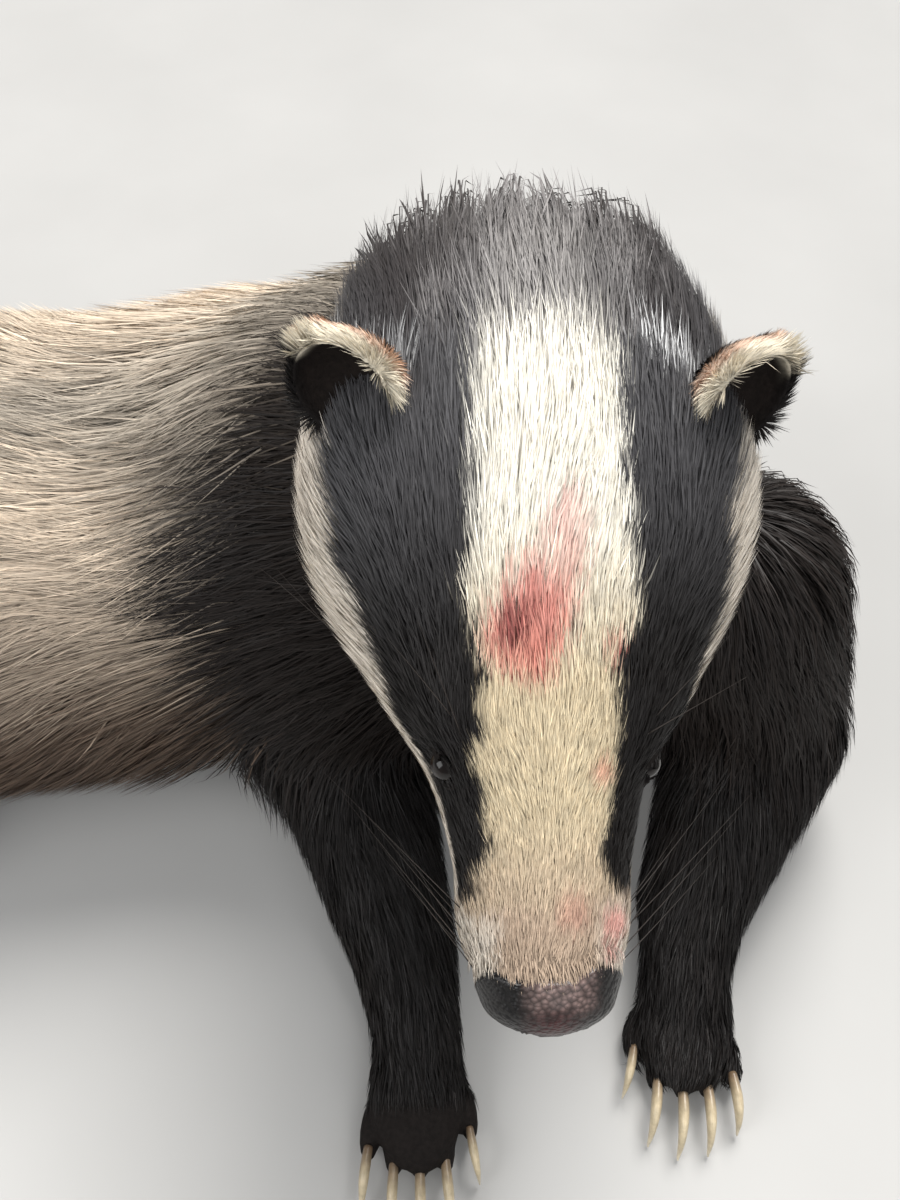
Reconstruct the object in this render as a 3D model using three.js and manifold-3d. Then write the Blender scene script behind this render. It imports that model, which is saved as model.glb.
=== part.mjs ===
// European badger, adult, life size, as a still museum model. It lies on the floor with its trunk
// along X, its forelegs stretched towards -Y and its head raised and turned to face -Y.
// Millimetres, +Z up, floor at z = 0. The flesh is one smooth implicit body that is polygonized
// region by region, so that head, jaw, neck, torso, legs and tail meet on thin cuts.
import * as THREE from "three";
import { mergeVertices } from "three/addons/utils/BufferGeometryUtils.js";
import Module from "manifold-3d";

const wasm = await Module();
wasm.setup();

// Driving dimensions
const GAP = 0.3; // between nodes that touch
const FLOOR_Z = 0;
const LOCK_SEED = 20; // of the variation between locks

// Head frame: u runs back from the nose tip, v to the animal's left, w to the crown.
const NOSE_TIP = [23, 28, 210];
const HEAD_PITCH = 16.7; // degrees that the nose points down
const HEAD_YAW = -1; // degrees that the back of the head swings to +X
const HEAD_ROLL = 4.5; // degrees that the crown leans to +X
const HEAD_LENGTH = 205; // nose tip to the end of the head's own shape, inside the neck
const NECK_CUT_U = 176;
const NOSE_PAD_U = 11; // depth of the bare nose pad
const MOUTH_CORNER_U = 60;

// Stations along the head: u, crown height, chin depth, half width
const HEAD_STATIONS = [
  [0, 10, 9, 13],
  [10, 13.5, 13, 16.5],
  [22, 16, 19, 20.5],
  [40, 19.5, 23.5, 22.5],
  [60, 26, 28, 29],
  [80, 33.5, 33, 41],
  [100, 39.5, 37, 52.5],
  [120, 43.5, 40, 60],
  [140, 45.5, 43, 62.5],
  [160, 44, 46, 58.5],
  [182, 37, 47, 50],
  [205, 20, 44, 31],
];
const NOSE_ROUND = 7; // radius of the snout's front edge
const HEAD_SQUARENESS = 2.25; // exponent of its sections

// Small forms of the face in the head frame: u, v, w, radius, and height, where minus is a hollow
const FACE_FORMS = [
  [60, 29, 6, 9, -2.2],
  [68, 27, 20, 10, 2.0],
  [24, 17, -9, 11, 1.6],
  [78, 0, 36, 14, -1.5],
  [112, 54, -22, 24, 3.0],
];
const EYE_AT = [61, 24.3, 11.5]; // eyeball centre in the head frame, v for the left eye
const EYE_RADIUS = 5.2;
const EYE_LOOK = [-0.42, 0.8, 0.42];

// Trunk stations along x: centre y, centre z, half width in y, rise of the back, depth of the belly
const TRUNK_STATIONS = [
  [-452, 252, 74, 22, 18, 22],
  [-430, 252, 76, 52, 38, 48],
  [-390, 254, 82, 84, 58, 78],
  [-320, 257, 88, 106, 73, 92],
  [-240, 261, 90, 111, 76, 95],
  [-160, 266, 90, 109, 76, 95],
  [-80, 271, 93, 105, 78, 97],
  [0, 274, 98, 99, 80, 102],
  [60, 268, 100, 90, 76, 102],
  [110, 262, 97, 64, 58, 72],
  [135, 260, 96, 30, 28, 36],
];
const TRUNK_SQUARENESS = 2.3;
const TRUNK_END_ROUND = 22;

// Chains of round cones: blend with the body, then x, y, z and radius of each joint
const CHAINS = {
  neck: [32, [[20, 188, 244, 41], [15, 212, 214, 48], [20, 252, 168, 60], [35, 274, 114, 80]]],
  nape: [40, [[8, 226, 204, 44], [-66, 276, 122, 66]]],
  foreleg_right: [22, [[-44, 220, 102, 52], [-52, 182, 38, 39], [-20, 84, 21.5, 23.5], [-14, 52, 17, 19]]],
  foreleg_left: [22, [[118, 218, 104, 54], [146, 184, 40, 41], [108, 104, 22, 24.5], [102, 74, 17, 19]]],
  hindleg_right: [24, [[-350, 208, 84, 60], [-290, 158, 54, 43], [-326, 132, 22, 25]]],
  hindleg_left: [24, [[-350, 308, 84, 60], [-290, 358, 54, 43], [-326, 384, 22, 25]]],
  tail: [20, [[-432, 251, 68, 34], [-484, 243, 50, 24], [-536, 232, 38, 17], [-574, 222, 31, 9]]],
};

// Paws: wrist or heel, heading in degrees from +X, pad half sizes, toes and claws
const FORE_PAW = { reach: 30, pad: [31, 21.5, 13.5], toe: [13.5, 6.6, 7.6], toeAt: 50, fan: 9.8, claw: 23 };
const HIND_PAW = { reach: 36, pad: [46, 18, 13], toe: [12, 6.2, 7.2], toeAt: 74, fan: 8.4, claw: 15 };
const PAWS = {
  forepaw_right: { size: FORE_PAW, at: [-15, 60], heading: -87, inner: 1 },
  forepaw_left: { size: FORE_PAW, at: [105, 88], heading: -98, inner: -1 },
  hindpaw_right: { size: HIND_PAW, at: [-340, 126], heading: -8, inner: 1 },
  hindpaw_left: { size: HIND_PAW, at: [-340, 390], heading: 8, inner: -1 },
};
const TOES = [-2, -1, 0, 1, 2];

// Vector helpers
const add = (a, b, k = 1) => [a[0] + k * b[0], a[1] + k * b[1], a[2] + k * b[2]];
const dot = (a, b) => a[0] * b[0] + a[1] * b[1] + a[2] * b[2];
const cross = (a, b) => [
  a[1] * b[2] - a[2] * b[1],
  a[2] * b[0] - a[0] * b[2],
  a[0] * b[1] - a[1] * b[0],
];
const unit = (a) => {
  const length = Math.hypot(...a);
  return a.map((x) => x / length);
};
const radians = (degrees) => (degrees * Math.PI) / 180;

// A smooth curve through rows of stations, as a function of their first column
function stations(rows) {
  const columns = rows[0].length - 1;
  const slope = (i, c) => {
    const a = rows[Math.max(i - 1, 0)];
    const b = rows[Math.min(i + 1, rows.length - 1)];
    return (b[c + 1] - a[c + 1]) / (b[0] - a[0]);
  };
  return (t) => {
    let i = 0;
    while (i < rows.length - 2 && t > rows[i + 1][0]) i++;
    const [a, b] = [rows[i], rows[i + 1]];
    const span = b[0] - a[0];
    const x = Math.min(Math.max((t - a[0]) / span, 0), 1);
    const out = [];
    for (let c = 0; c < columns; c++) {
      const [p, q] = [a[c + 1], b[c + 1]];
      const [m, n] = [slope(i, c) * span, slope(i + 1, c) * span];
      out.push(p + x * (m + x * (3 * (q - p) - 2 * m - n + x * (m + n - 2 * (q - p)))));
    }
    return out;
  };
}

// Smooth union of two distances
function blend(a, b, k) {
  const h = Math.max(k - Math.abs(a - b), 0) / k;
  return Math.min(a, b) - (h * h * k) / 4;
}

// Distance to a cone with round ends, between balls a and b
function roundCone(p, a, b) {
  const axis = add(b, a, -1);
  const t = Math.min(Math.max(dot(add(p, a, -1), axis) / dot(axis, axis), 0), 1);
  return Math.hypot(...add(add(p, a, -1), axis, -t)) - (a[3] + t * (b[3] - a[3]));
}

function chainField(p, balls) {
  let f = Infinity;
  for (let i = 0; i + 1 < balls.length; i++) f = Math.min(f, roundCone(p, balls[i], balls[i + 1]));
  return f;
}

function ellipsoidField(p, half) {
  const k = Math.hypot(p[0] / half[0], p[1] / half[1], p[2] / half[2]);
  const g = Math.hypot(p[0] / half[0] ** 2, p[1] / half[1] ** 2, p[2] / half[2] ** 2);
  return g > 0 ? (k * (k - 1)) / g : -Math.min(...half);
}

// Head frame axes: back, left and crown
const [pitch, yaw, roll] = [HEAD_PITCH, HEAD_YAW, HEAD_ROLL].map(radians);
const BACK = [Math.sin(yaw) * Math.cos(pitch), Math.cos(yaw) * Math.cos(pitch), Math.sin(pitch)];
const LEVEL_LEFT = [Math.cos(yaw), -Math.sin(yaw), 0];
const LEVEL_CROWN = cross(LEVEL_LEFT, BACK);
const LEFT = add(LEVEL_LEFT.map((x) => x * Math.cos(roll)), LEVEL_CROWN, -Math.sin(roll));
const CROWN = add(LEVEL_CROWN.map((x) => x * Math.cos(roll)), LEVEL_LEFT, Math.sin(roll));
const toHead = (p) => {
  const d = add(p, NOSE_TIP, -1);
  return [dot(d, BACK), dot(d, LEFT), dot(d, CROWN)];
};
const turnHead = (d) => add(add(add([0, 0, 0], BACK, d[0]), LEFT, d[1]), CROWN, d[2]);
const fromHead = (q) => add(NOSE_TIP, turnHead(q));

const headAt = stations(HEAD_STATIONS);
function headField(p) {
  const [u, v, w] = toHead(p);
  const [crown, chin, half] = headAt(u);
  const into = Math.min(Math.max(u / NOSE_ROUND, 0), 1);
  const cap = Math.max(Math.sqrt(1 - (1 - into) ** 2), 0.05);
  const high = (w > 0 ? crown : chin) * cap;
  const wide = half * cap;
  const n = HEAD_SQUARENESS;
  const rho = (Math.abs(v / wide) ** n + Math.abs(w / high) ** n) ** (1 / n);
  let f = (rho - 1) * Math.min(wide, high);
  f = Math.max(f, -u, u - HEAD_LENGTH);
  for (const [fu, fv, fw, radius, height] of FACE_FORMS) {
    const away = (u - fu) ** 2 + (Math.abs(v) - fv) ** 2 + (w - fw) ** 2;
    f -= height * Math.exp(-away / (radius * radius));
  }
  return f;
}

const trunkAt = stations(TRUNK_STATIONS);
const TRUNK_ENDS = [TRUNK_STATIONS[0][0], TRUNK_STATIONS.at(-1)[0]];
function trunkField(p) {
  const [cy, cz, wide, rise, depth] = trunkAt(p[0]);
  const high = p[2] > cz ? rise : depth;
  const n = TRUNK_SQUARENESS;
  const rho = (Math.abs((p[1] - cy) / wide) ** n + Math.abs((p[2] - cz) / high) ** n) ** (1 / n);
  const side = (rho - 1) * Math.min(wide, high);
  const end = Math.max(TRUNK_ENDS[0] - p[0], p[0] - TRUNK_ENDS[1]);
  return -blend(-side, -end, TRUNK_END_ROUND);
}

// Paw frame: f forward, s sideways to the animal's left, z up, from the wrist or heel
function pawFrame({ at, heading }) {
  const forward = [Math.cos(radians(heading)), Math.sin(radians(heading)), 0];
  const left = [-forward[1], forward[0], 0];
  return {
    forward,
    left,
    to: (p) => [
      (p[0] - at[0]) * forward[0] + (p[1] - at[1]) * forward[1],
      (p[0] - at[0]) * left[0] + (p[1] - at[1]) * left[1],
      p[2],
    ],
    from: (q) => [
      at[0] + q[0] * forward[0] + q[1] * left[0],
      at[1] + q[0] * forward[1] + q[1] * left[1],
      q[2],
    ],
  };
}

// Toe centre in the paw frame; the first toe, on the inner side, is set back
function toeCentre({ size, inner }, toe) {
  const first = toe === 2;
  const back = 1.9 * toe * toe + (first ? 5 : 0);
  return [size.toeAt - back, inner * toe * size.fan, size.toe[2] - 0.4];
}

const toeTurn = ({ inner }, toe) => radians(inner * toe * 4.5);

function pawField(p, paw, frame) {
  const q = frame.to(p);
  const { reach, pad } = paw.size;
  let f = ellipsoidField([q[0] - reach, q[1], q[2] - pad[2] + 1], pad);
  for (const toe of TOES) {
    const c = toeCentre(paw, toe);
    const turn = toeTurn(paw, toe);
    const d = [q[0] - c[0], q[1] - c[1], q[2] - c[2]];
    const turned = [
      d[0] * Math.cos(turn) + d[1] * Math.sin(turn),
      d[1] * Math.cos(turn) - d[0] * Math.sin(turn),
      d[2],
    ];
    f = blend(f, ellipsoidField(turned, paw.size.toe), 3.5);
  }
  return f;
}

const pawFrames = Object.fromEntries(Object.entries(PAWS).map(([name, paw]) => [name, pawFrame(paw)]));
const HEAD_BLEND = 16;
const PAW_BLEND = 7;

// The whole body: negative inside
function bodyField(p) {
  let f = trunkField(p);
  for (const [k, balls] of Object.values(CHAINS)) f = blend(f, chainField(p, balls), k);
  f = blend(f, headField(p), HEAD_BLEND);
  for (const [name, paw] of Object.entries(PAWS)) f = blend(f, pawField(p, paw, pawFrames[name]), PAW_BLEND);
  return f;
}

// How long the coat is, from 0 on the face and legs to 1 on the trunk and tail
const smooth = (t) => {
  const x = Math.min(Math.max(t, 0), 1);
  return x * x * (3 - 2 * x);
};
function coatReach(p) {
  const behindHead = smooth((toHead(p)[0] - NECK_CUT_U) / 70);
  const awayFromFace = smooth((Math.hypot(...add(p, [24, 150, 240], -1)) - 70) / 70);
  let reach = Math.max(behindHead, awayFromFace);
  for (const name of ["foreleg_right", "foreleg_left", "hindleg_right", "hindleg_left"]) {
    const leg = CHAINS[name][1].slice(1);
    const paw = PAWS[name.replace("leg", "paw")];
    const pad = pawFrames[name.replace("leg", "paw")].from([paw.size.reach, 0, 10]);
    const away = Math.min(chainField(p, leg), Math.hypot(...add(p, pad, -1)) - 40);
    reach = Math.min(reach, smooth((away - 2) / 48));
  }
  return reach;
}
const STEP = 0.25;
function gradient(field, p) {
  const g = [0, 1, 2].map((i) => {
    const [a, b] = [[...p], [...p]];
    a[i] -= STEP;
    b[i] += STEP;
    return (field(b) - field(a)) / (2 * STEP);
  });
  return g;
}

// Moves a point onto the field's level
function settle(field, p, level = 0) {
  for (let step = 0; step < 3; step++) {
    const g = gradient(field, p);
    const length = Math.max(dot(g, g), 0.04);
    p = add(p, g, -Math.min(Math.max((field(p) - level) / length, -6), 6));
  }
  return p;
}

// Grid lines from one value on, by runs of [end, spacing]
function lines(from, ...runs) {
  const out = [from];
  for (const [end, spacing] of runs) {
    const start = out.at(-1);
    const count = Math.ceil((end - start) / spacing);
    for (let i = 1; i <= count; i++) out.push(start + (i * (end - start)) / count);
  }
  return out;
}

// A closed mesh of a field's zero inside a box, by surface nets on a grid given by its lines along
// three axes. The grid may lie in a frame of its own, given by its way to the world's.
function polygonize(field, grid, toWorld = (q) => q) {
  const count = grid.map((axis) => axis.length);
  const at = (i, j, k) => i + count[0] * (j + count[1] * k);
  const values = new Float64Array(count[0] * count[1] * count[2]);
  const inner = (n, i) => i > 0 && i < count[n] - 1;
  for (let k = 0; k < count[2]; k++)
    for (let j = 0; j < count[1]; j++)
      for (let i = 0; i < count[0]; i++) {
        const p = toWorld([grid[0][i], grid[1][j], grid[2][k]]);
        const f = field(p);
        values[at(i, j, k)] = inner(0, i) && inner(1, j) && inner(2, k) ? f : Math.max(f, 0.5);
      }
  const points = [];
  const cellPoint = new Map();
  const corners = [0, 1, 2, 3, 4, 5, 6, 7].map((c) => [c & 1, (c >> 1) & 1, c >> 2]);
  for (let k = 0; k + 1 < count[2]; k++)
    for (let j = 0; j + 1 < count[1]; j++)
      for (let i = 0; i + 1 < count[0]; i++) {
        const f = corners.map(([a, b, c]) => values[at(i + a, j + b, k + c)]);
        if (f.every((x) => x < 0) || f.every((x) => x >= 0)) continue;
        let [sum, n] = [[0, 0, 0], 0];
        for (let a = 0; a < 8; a++)
          for (const bit of [1, 2, 4]) {
            const b = a | bit;
            if (b === a || f[a] < 0 === f[b] < 0) continue;
            const t = f[a] / (f[a] - f[b]);
            sum = add(sum, corners[a].map((x, axis) => x + t * (corners[b][axis] - x)));
            n++;
          }
        const local = sum.map((x) => x / n);
        const cell = [i, j, k].map((x, axis) => grid[axis][x + 1] - grid[axis][x]);
        let p = toWorld([i, j, k].map((x, axis) => grid[axis][x] + local[axis] * cell[axis]));
        const edge = [i, j, k].some((x, axis) => x === 0 || x === count[axis] - 2);
        if (!edge) {
          const moved = settle(field, p);
          const far = Math.hypot(...add(moved, p, -1));
          if (far < 0.7 * Math.min(...cell)) p = moved;
        }
        cellPoint.set(at(i, j, k), points.length);
        points.push(p);
      }
  const faces = [];
  const quad = (a, b, c, d, flip) => {
    const ring = flip ? [d, c, b, a] : [a, b, c, d];
    const [p, q, r, s] = ring.map((x) => points[x]);
    const shortFirst = Math.hypot(...add(p, r, -1)) < Math.hypot(...add(q, s, -1));
    if (shortFirst) faces.push([ring[0], ring[1], ring[2]], [ring[0], ring[2], ring[3]]);
    else faces.push([ring[1], ring[2], ring[3]], [ring[1], ring[3], ring[0]]);
  };
  const around = [
    [[0, -1, -1], [0, 0, -1], [0, 0, 0], [0, -1, 0]],
    [[-1, 0, -1], [-1, 0, 0], [0, 0, 0], [0, 0, -1]],
    [[-1, -1, 0], [0, -1, 0], [0, 0, 0], [-1, 0, 0]],
  ];
  for (let k = 0; k + 1 < count[2]; k++)
    for (let j = 0; j + 1 < count[1]; j++)
      for (let i = 0; i + 1 < count[0]; i++)
        for (const axis of [0, 1, 2]) {
          if ([i, j, k].some((x, n) => n !== axis && x === 0)) continue;
          const next = [i + (axis === 0), j + (axis === 1), k + (axis === 2)];
          const [a, b] = [values[at(i, j, k)] < 0, values[at(...next)] < 0];
          if (a === b) continue;
          const ids = around[axis].map(([x, y, z]) => cellPoint.get(at(i + x, j + y, k + z)));
          quad(...ids, !a);
        }
  return toSolid(points, faces);
}

// Closed triangle list to a solid for joining and cutting, turned to face out
function toSolid(points, faces) {
  const build = (list) =>
    new wasm.Manifold(
      new wasm.Mesh({
        numProp: 3,
        vertProperties: new Float32Array(points.flat()),
        triVerts: new Uint32Array(list.flat()),
      }),
    );
  const solid = build(faces);
  return solid.volume() > 0 ? solid : build(faces.map(([a, b, c]) => [a, c, b]));
}

function fromGeometry(geometry, matrix = new THREE.Matrix4()) {
  const plain = geometry.clone().applyMatrix4(matrix);
  plain.deleteAttribute("normal");
  plain.deleteAttribute("uv");
  const merged = mergeVertices(plain, 1e-4);
  return new wasm.Manifold(
    new wasm.Mesh({
      numProp: 3,
      vertProperties: new Float32Array(merged.attributes.position.array),
      triVerts: new Uint32Array(merged.index.array),
    }),
  );
}

// A box given by its centre, its axes and its half sizes along them
function block(centre, axes, half, grow = 0) {
  const hand = Math.sign(dot(cross(axes[0], axes[1]), axes[2]));
  const [x0, y0, z0] = axes.map((a) => new THREE.Vector3(...a));
  const matrix = new THREE.Matrix4().makeBasis(x0.multiplyScalar(hand), y0, z0);
  matrix.setPosition(...centre);
  const [x, y, z] = half.map((h) => 2 * (h + grow));
  return fromGeometry(new THREE.BoxGeometry(x, y, z), matrix);
}

// A ball stretched along three axes
function ball(centre, axes, half, segments = 16) {
  const hand = Math.sign(dot(cross(axes[0], axes[1]), axes[2]));
  const columns = axes.map((a, i) => new THREE.Vector3(...a).multiplyScalar(half[i] * (i ? 1 : hand)));
  const matrix = new THREE.Matrix4().makeBasis(...columns).setPosition(...centre);
  return fromGeometry(new THREE.SphereGeometry(1, segments, Math.round(segments * 0.7)), matrix);
}

// A closed tube through points, with a radius at each, flattened across the given up direction
function tube(points, radii, sides, up, flat = 1) {
  const rings = points.map((p, i) => {
    const ahead = unit(add(points[Math.min(i + 1, points.length - 1)], points[Math.max(i - 1, 0)], -1));
    const side = unit(cross(ahead, up));
    const top = cross(side, ahead);
    return Array.from({ length: sides }, (_, k) => {
      const angle = (2 * Math.PI * k) / sides;
      return add(add(p, side, radii[i] * flat * Math.cos(angle)), top, radii[i] * Math.sin(angle));
    });
  });
  const vertices = [...rings.flat(), points[0], points.at(-1)];
  const faces = [];
  const last = rings.length - 1;
  for (let k = 0; k < sides; k++) {
    const next = (k + 1) % sides;
    for (let i = 0; i < last; i++) {
      const [a, b] = [i * sides + k, i * sides + next];
      faces.push([a, a + sides, b + sides], [a, b + sides, b]);
    }
    faces.push([vertices.length - 2, k, next]);
    faces.push([vertices.length - 1, last * sides + next, last * sides + k]);
  }
  return toSolid(vertices, faces);
}

const WORLD_AXES = [[1, 0, 0], [0, 1, 0], [0, 0, 1]];
const HEAD_AXES = [BACK, LEFT, CROWN];

// The half space behind a plane, as a large block
function slab(point, normal, grow = 0) {
  const n = unit(normal);
  const side = unit(cross(n, Math.abs(n[2]) < 0.8 ? [0, 0, 1] : [1, 0, 0]));
  const reach = 700;
  return block(add(point, n, grow - reach), [n, side, cross(n, side)], [reach, reach, reach]);
}

const floorBlock = block([0, 0, FLOOR_Z - 300], WORLD_AXES, [900, 900, 300]);

// Largest closed surface of a solid, which also drops sealed hollows and loose scraps
function largest(solid) {
  const parts = solid.decompose();
  return parts.reduce((a, b) => (a.volume() > b.volume() ? a : b));
}

// Points that lie on one another, where a surface pinches, each drawn a little into its own side
const TWIN_GAP = 0.04;
function partTwins(points, faces) {
  const inward = points.map(() => [0, 0, 0]);
  for (const [a, b, c] of faces) {
    const n = cross(add(points[b], points[a], -1), add(points[c], points[a], -1));
    for (const i of [a, b, c]) inward[i] = add(inward[i], n, -1);
  }
  const places = new Map();
  const key = (p) => p.map((x) => Math.round(x * 200)).join();
  points.forEach((p, i) => places.set(key(p), [...(places.get(key(p)) ?? []), i]));
  const out = [...points];
  for (const twins of places.values())
    if (twins.length > 1) for (const i of twins) out[i] = add(points[i], unit(inward[i]), TWIN_GAP);
  return out;
}

// Fewer triangles for the same shape: each round folds edges into one of their ends where the
// planes round them stay within the given distance, shortest slivers first
function thin(solid, most) {
  const { vertProperties, triVerts } = solid.getMesh();
  const points = Array.from({ length: vertProperties.length / 3 }, (_, i) => [
    vertProperties[3 * i],
    vertProperties[3 * i + 1],
    vertProperties[3 * i + 2],
  ]);
  let faces = Array.from({ length: triVerts.length / 3 }, (_, i) => [...triVerts.slice(3 * i, 3 * i + 3)]);
  const normalOf = (face) => {
    const [a, b, c] = face.map((i) => points[i]);
    return cross(add(b, a, -1), add(c, a, -1));
  };
  const planes = points.map(() => []);
  for (const face of faces) {
    const n = normalOf(face);
    const twiceArea = Math.hypot(...n);
    if (twiceArea < 0.02) continue;
    const plane = n.map((x) => x / twiceArea);
    plane.push(-dot(plane, points[face[0]]));
    for (const i of face) planes[i].push(plane);
  }
  const error = (i, p) => planes[i].reduce((worst, n) => Math.max(worst, Math.abs(dot(n, p) + n[3])), 0);
  for (let round = 0; round < 12; round++) {
    const around = points.map(() => []);
    for (const face of faces) for (const i of face) around[i].push(face);
    const folds = [];
    for (const face of faces)
      for (const k of [0, 1, 2]) {
        const [a, b] = [face[k], face[(k + 1) % 3]];
        if (a > b) continue;
        const length = Math.hypot(...add(points[a], points[b], -1));
        const [toB, toA] = [error(a, points[b]), error(b, points[a])];
        if (Math.min(toA, toB) > most) continue;
        folds.push(toB <= toA ? [toB + 0.002 * length, a, b] : [toA + 0.002 * length, b, a]);
      }
    folds.sort((x, y) => x[0] - y[0]);
    const touched = new Set();
    let folded = 0;
    for (const [, gone, kept] of folds) {
      const ring = new Set([...around[gone], ...around[kept]].flat());
      if ([...ring].some((i) => touched.has(i))) continue;
      const near = new Set(around[gone].flat());
      const common = new Set(around[kept].flat().filter((i) => near.has(i) && i !== gone && i !== kept));
      if (common.size !== 2) continue;
      const moved = around[gone].filter((face) => !face.includes(kept));
      const spoils = moved.some((face) => {
        const before = normalOf(face);
        const after = normalOf(face.map((i) => (i === gone ? kept : i)));
        const [m, n] = [Math.hypot(...before), Math.hypot(...after)];
        const longest = Math.max(...face.map((i) => Math.hypot(...add(points[i], points[kept], -1))));
        return n < 0.05 * longest || (m > 0.02 && dot(before, after) < 0.35 * m * n);
      });
      if (spoils) continue;
      for (const face of moved) face[face.indexOf(gone)] = kept;
      for (const face of around[gone]) if (!moved.includes(face)) face.folded = true;
      planes[kept].push(...planes[gone]);
      for (const i of ring) touched.add(i);
      folded++;
    }
    faces = faces.filter((face) => !face.folded);
    if (!folded) break;
  }
  const used = new Map();
  for (const face of faces) for (const i of face) if (!used.has(i)) used.set(i, used.size);
  const left = faces.map((face) => face.map((i) => used.get(i)));
  return toSolid(partTwins([...used.keys()].map((i) => points[i]), left), left);
}

// Regions of the body that hold one node's flesh each: round ones where a limb or the neck leaves
// the trunk, so that the cut runs round it, and blocks for the head and paws
const blockBetween = (axes, from, to) => {
  const middle = [0, 1, 2].map((i) => (from[i] + to[i]) / 2);
  const half = [0, 1, 2].map((i) => (to[i] - from[i]) / 2);
  const centre = [0, 1, 2].reduce((sum, i) => add(sum, axes[i], middle[i]), [0, 0, 0]);
  return { centre, axes, half };
};

function pawRegion(name, back) {
  const { forward, left } = pawFrames[name];
  const [x, y] = PAWS[name].at;
  const start = [x * forward[0] + y * forward[1], x * left[0] + y * left[1]];
  const axes = [forward, left, [0, 0, 1]];
  return blockBetween(axes, [start[0] + back, start[1] - 44, -30], [start[0] + 130, start[1] + 44, 34]);
}

// A round region along a leg that heads the given way, in degrees from +X
function legRegion(centre, heading, half) {
  const [c, s] = [Math.cos(radians(heading)), Math.sin(radians(heading))];
  return { centre, axes: [[c, s, 0], [-s, c, 0], [0, 0, 1]], half, round: true };
}

const headSpot = [0, 1, 2].map((i) => dot(NOSE_TIP, HEAD_AXES[i]));
const inHead = (from, to) => blockBetween(HEAD_AXES, add(headSpot, from), add(headSpot, to));
const TAIL_ROOT = [-462, 247, 55];
const TAILWARD = [-0.9, -0.12, -0.4];
const REGIONS = {
  head: inHead([-30, -90, -64], [NECK_CUT_U, 90, 90]),
  neck: { centre: [20, 196, 240], axes: WORLD_AXES, half: [84, 84, 84], round: true },
  foreleg_right: legRegion([-38, 118, 38], -72, [95, 58, 66]),
  foreleg_left: legRegion([131, 122, 40], -115, [95, 60, 66]),
  hindleg_right: legRegion([-315, 142, 40], 0, [88, 70, 84]),
  hindleg_left: legRegion([-315, 374, 40], 0, [88, 70, 84]),
  forepaw_right: pawRegion("forepaw_right", -4),
  forepaw_left: pawRegion("forepaw_left", -4),
  hindpaw_right: pawRegion("hindpaw_right", 30),
  hindpaw_left: pawRegion("hindpaw_left", 30),
};
function regionSolid(name, grow = 0) {
  const { centre, axes, half, round } = REGIONS[name];
  if (!round) return block(centre, axes, half, grow);
  return ball(centre, axes, half.map((h) => h + grow), 12);
}

// The grid that each region's flesh is polygonized on
const evenGrid = (low, high, cell) => [0, 1, 2].map((i) => lines(low[i], [high[i], cell[i]]));
const GRIDS = {
  neck: evenGrid([-90, 110, 60], [140, 350, 330], [16, 16, 16]),
  torso: evenGrid([-540, 60, -20], [220, 420, 270], [32, 22, 22]),
  tail: evenGrid([-640, 150, -20], [-430, 310, 130], [20, 15, 15]),
  foreleg_right: evenGrid([-140, 0, -12], [40, 230, 140], [12, 14, 12]),
  foreleg_left: evenGrid([40, 0, -12], [220, 230, 140], [12, 14, 12]),
  hindleg_right: evenGrid([-440, 60, -12], [-210, 240, 160], [14, 12, 12]),
  hindleg_left: evenGrid([-440, 276, -12], [-210, 456, 160], [14, 12, 12]),
  forepaw_right: evenGrid([-70, -30, -12], [40, 80, 60], [6.2, 7, 6.5]),
  forepaw_left: evenGrid([50, -10, -12], [160, 110, 60], [6.2, 7, 6.5]),
  hindpaw_right: evenGrid([-340, 60, -12], [-220, 170, 60], [7.5, 6.5, 6.5]),
  hindpaw_left: evenGrid([-340, 346, -12], [-220, 456, 60], [7.5, 6.5, 6.5]),
};
const flesh = (name) => polygonize(bodyField, GRIDS[name]).subtract(floorBlock);

// Grids of the head, in its own frame: finer towards the face
const HEAD_GRID = [
  lines(-12, [84, 6], [200, 9.5]),
  lines(-96, [-36, 10], [36, 7.2], [96, 10]),
  lines(-80, [-45, 9], [30, 6.6], [84, 10]),
];
const JAW_GRID = evenGrid([4, -50, -60], [76, 50, 16], [6, 5.5, 5.5]);
const NOSE_GRID = evenGrid([-8, -24, -20], [24, 24, 22], [4, 4.2, 4.2]);
const headFlesh = (grid, grow = 0) => polygonize((p) => bodyField(p) - grow, grid, fromHead);

const solids = {};

// Trunk, neck, tail, legs and paws
const LEGS = ["foreleg_right", "foreleg_left", "hindleg_right", "hindleg_left"];
solids.torso = flesh("torso").intersect(slab(TAIL_ROOT, TAILWARD));
for (const name of Object.keys(REGIONS)) solids.torso = solids.torso.subtract(regionSolid(name, GAP));
solids.neck = flesh("neck").intersect(regionSolid("neck")).subtract(regionSolid("head", GAP));
solids.tail = flesh("tail").subtract(slab(TAIL_ROOT, TAILWARD, GAP));
for (const name of LEGS) {
  const paw = name.replace("leg", "paw");
  solids[name] = flesh(name).intersect(regionSolid(name)).subtract(regionSolid(paw, GAP));
  solids[paw] = flesh(paw).intersect(regionSolid(paw));
}

// Locks of guard hair: flat, tapered and bent, rooted in the flesh and lying over the next row
const LOCK = {
  reach: 14, // height of the tips over the flesh
  sink: 4.2, // depth of the roots
  long: 92,
  wide: 42,
  thick: 3.2,
};
const LOCK_RINGS = [0, 0.36, 0.72, 1]; // along the lock
const LOCK_WIDTHS = [0.72, 1, 0.66, 0];
const LOCK_HEIGHTS = [0, 0.4, 0.78, 1]; // share of the reach at each ring
const SECTION = [[1, 0], [0, 1], [-1, 0], [0, -1]];
const TAIL_FREE_X = -545; // from here on the tail's locks hang free

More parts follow.
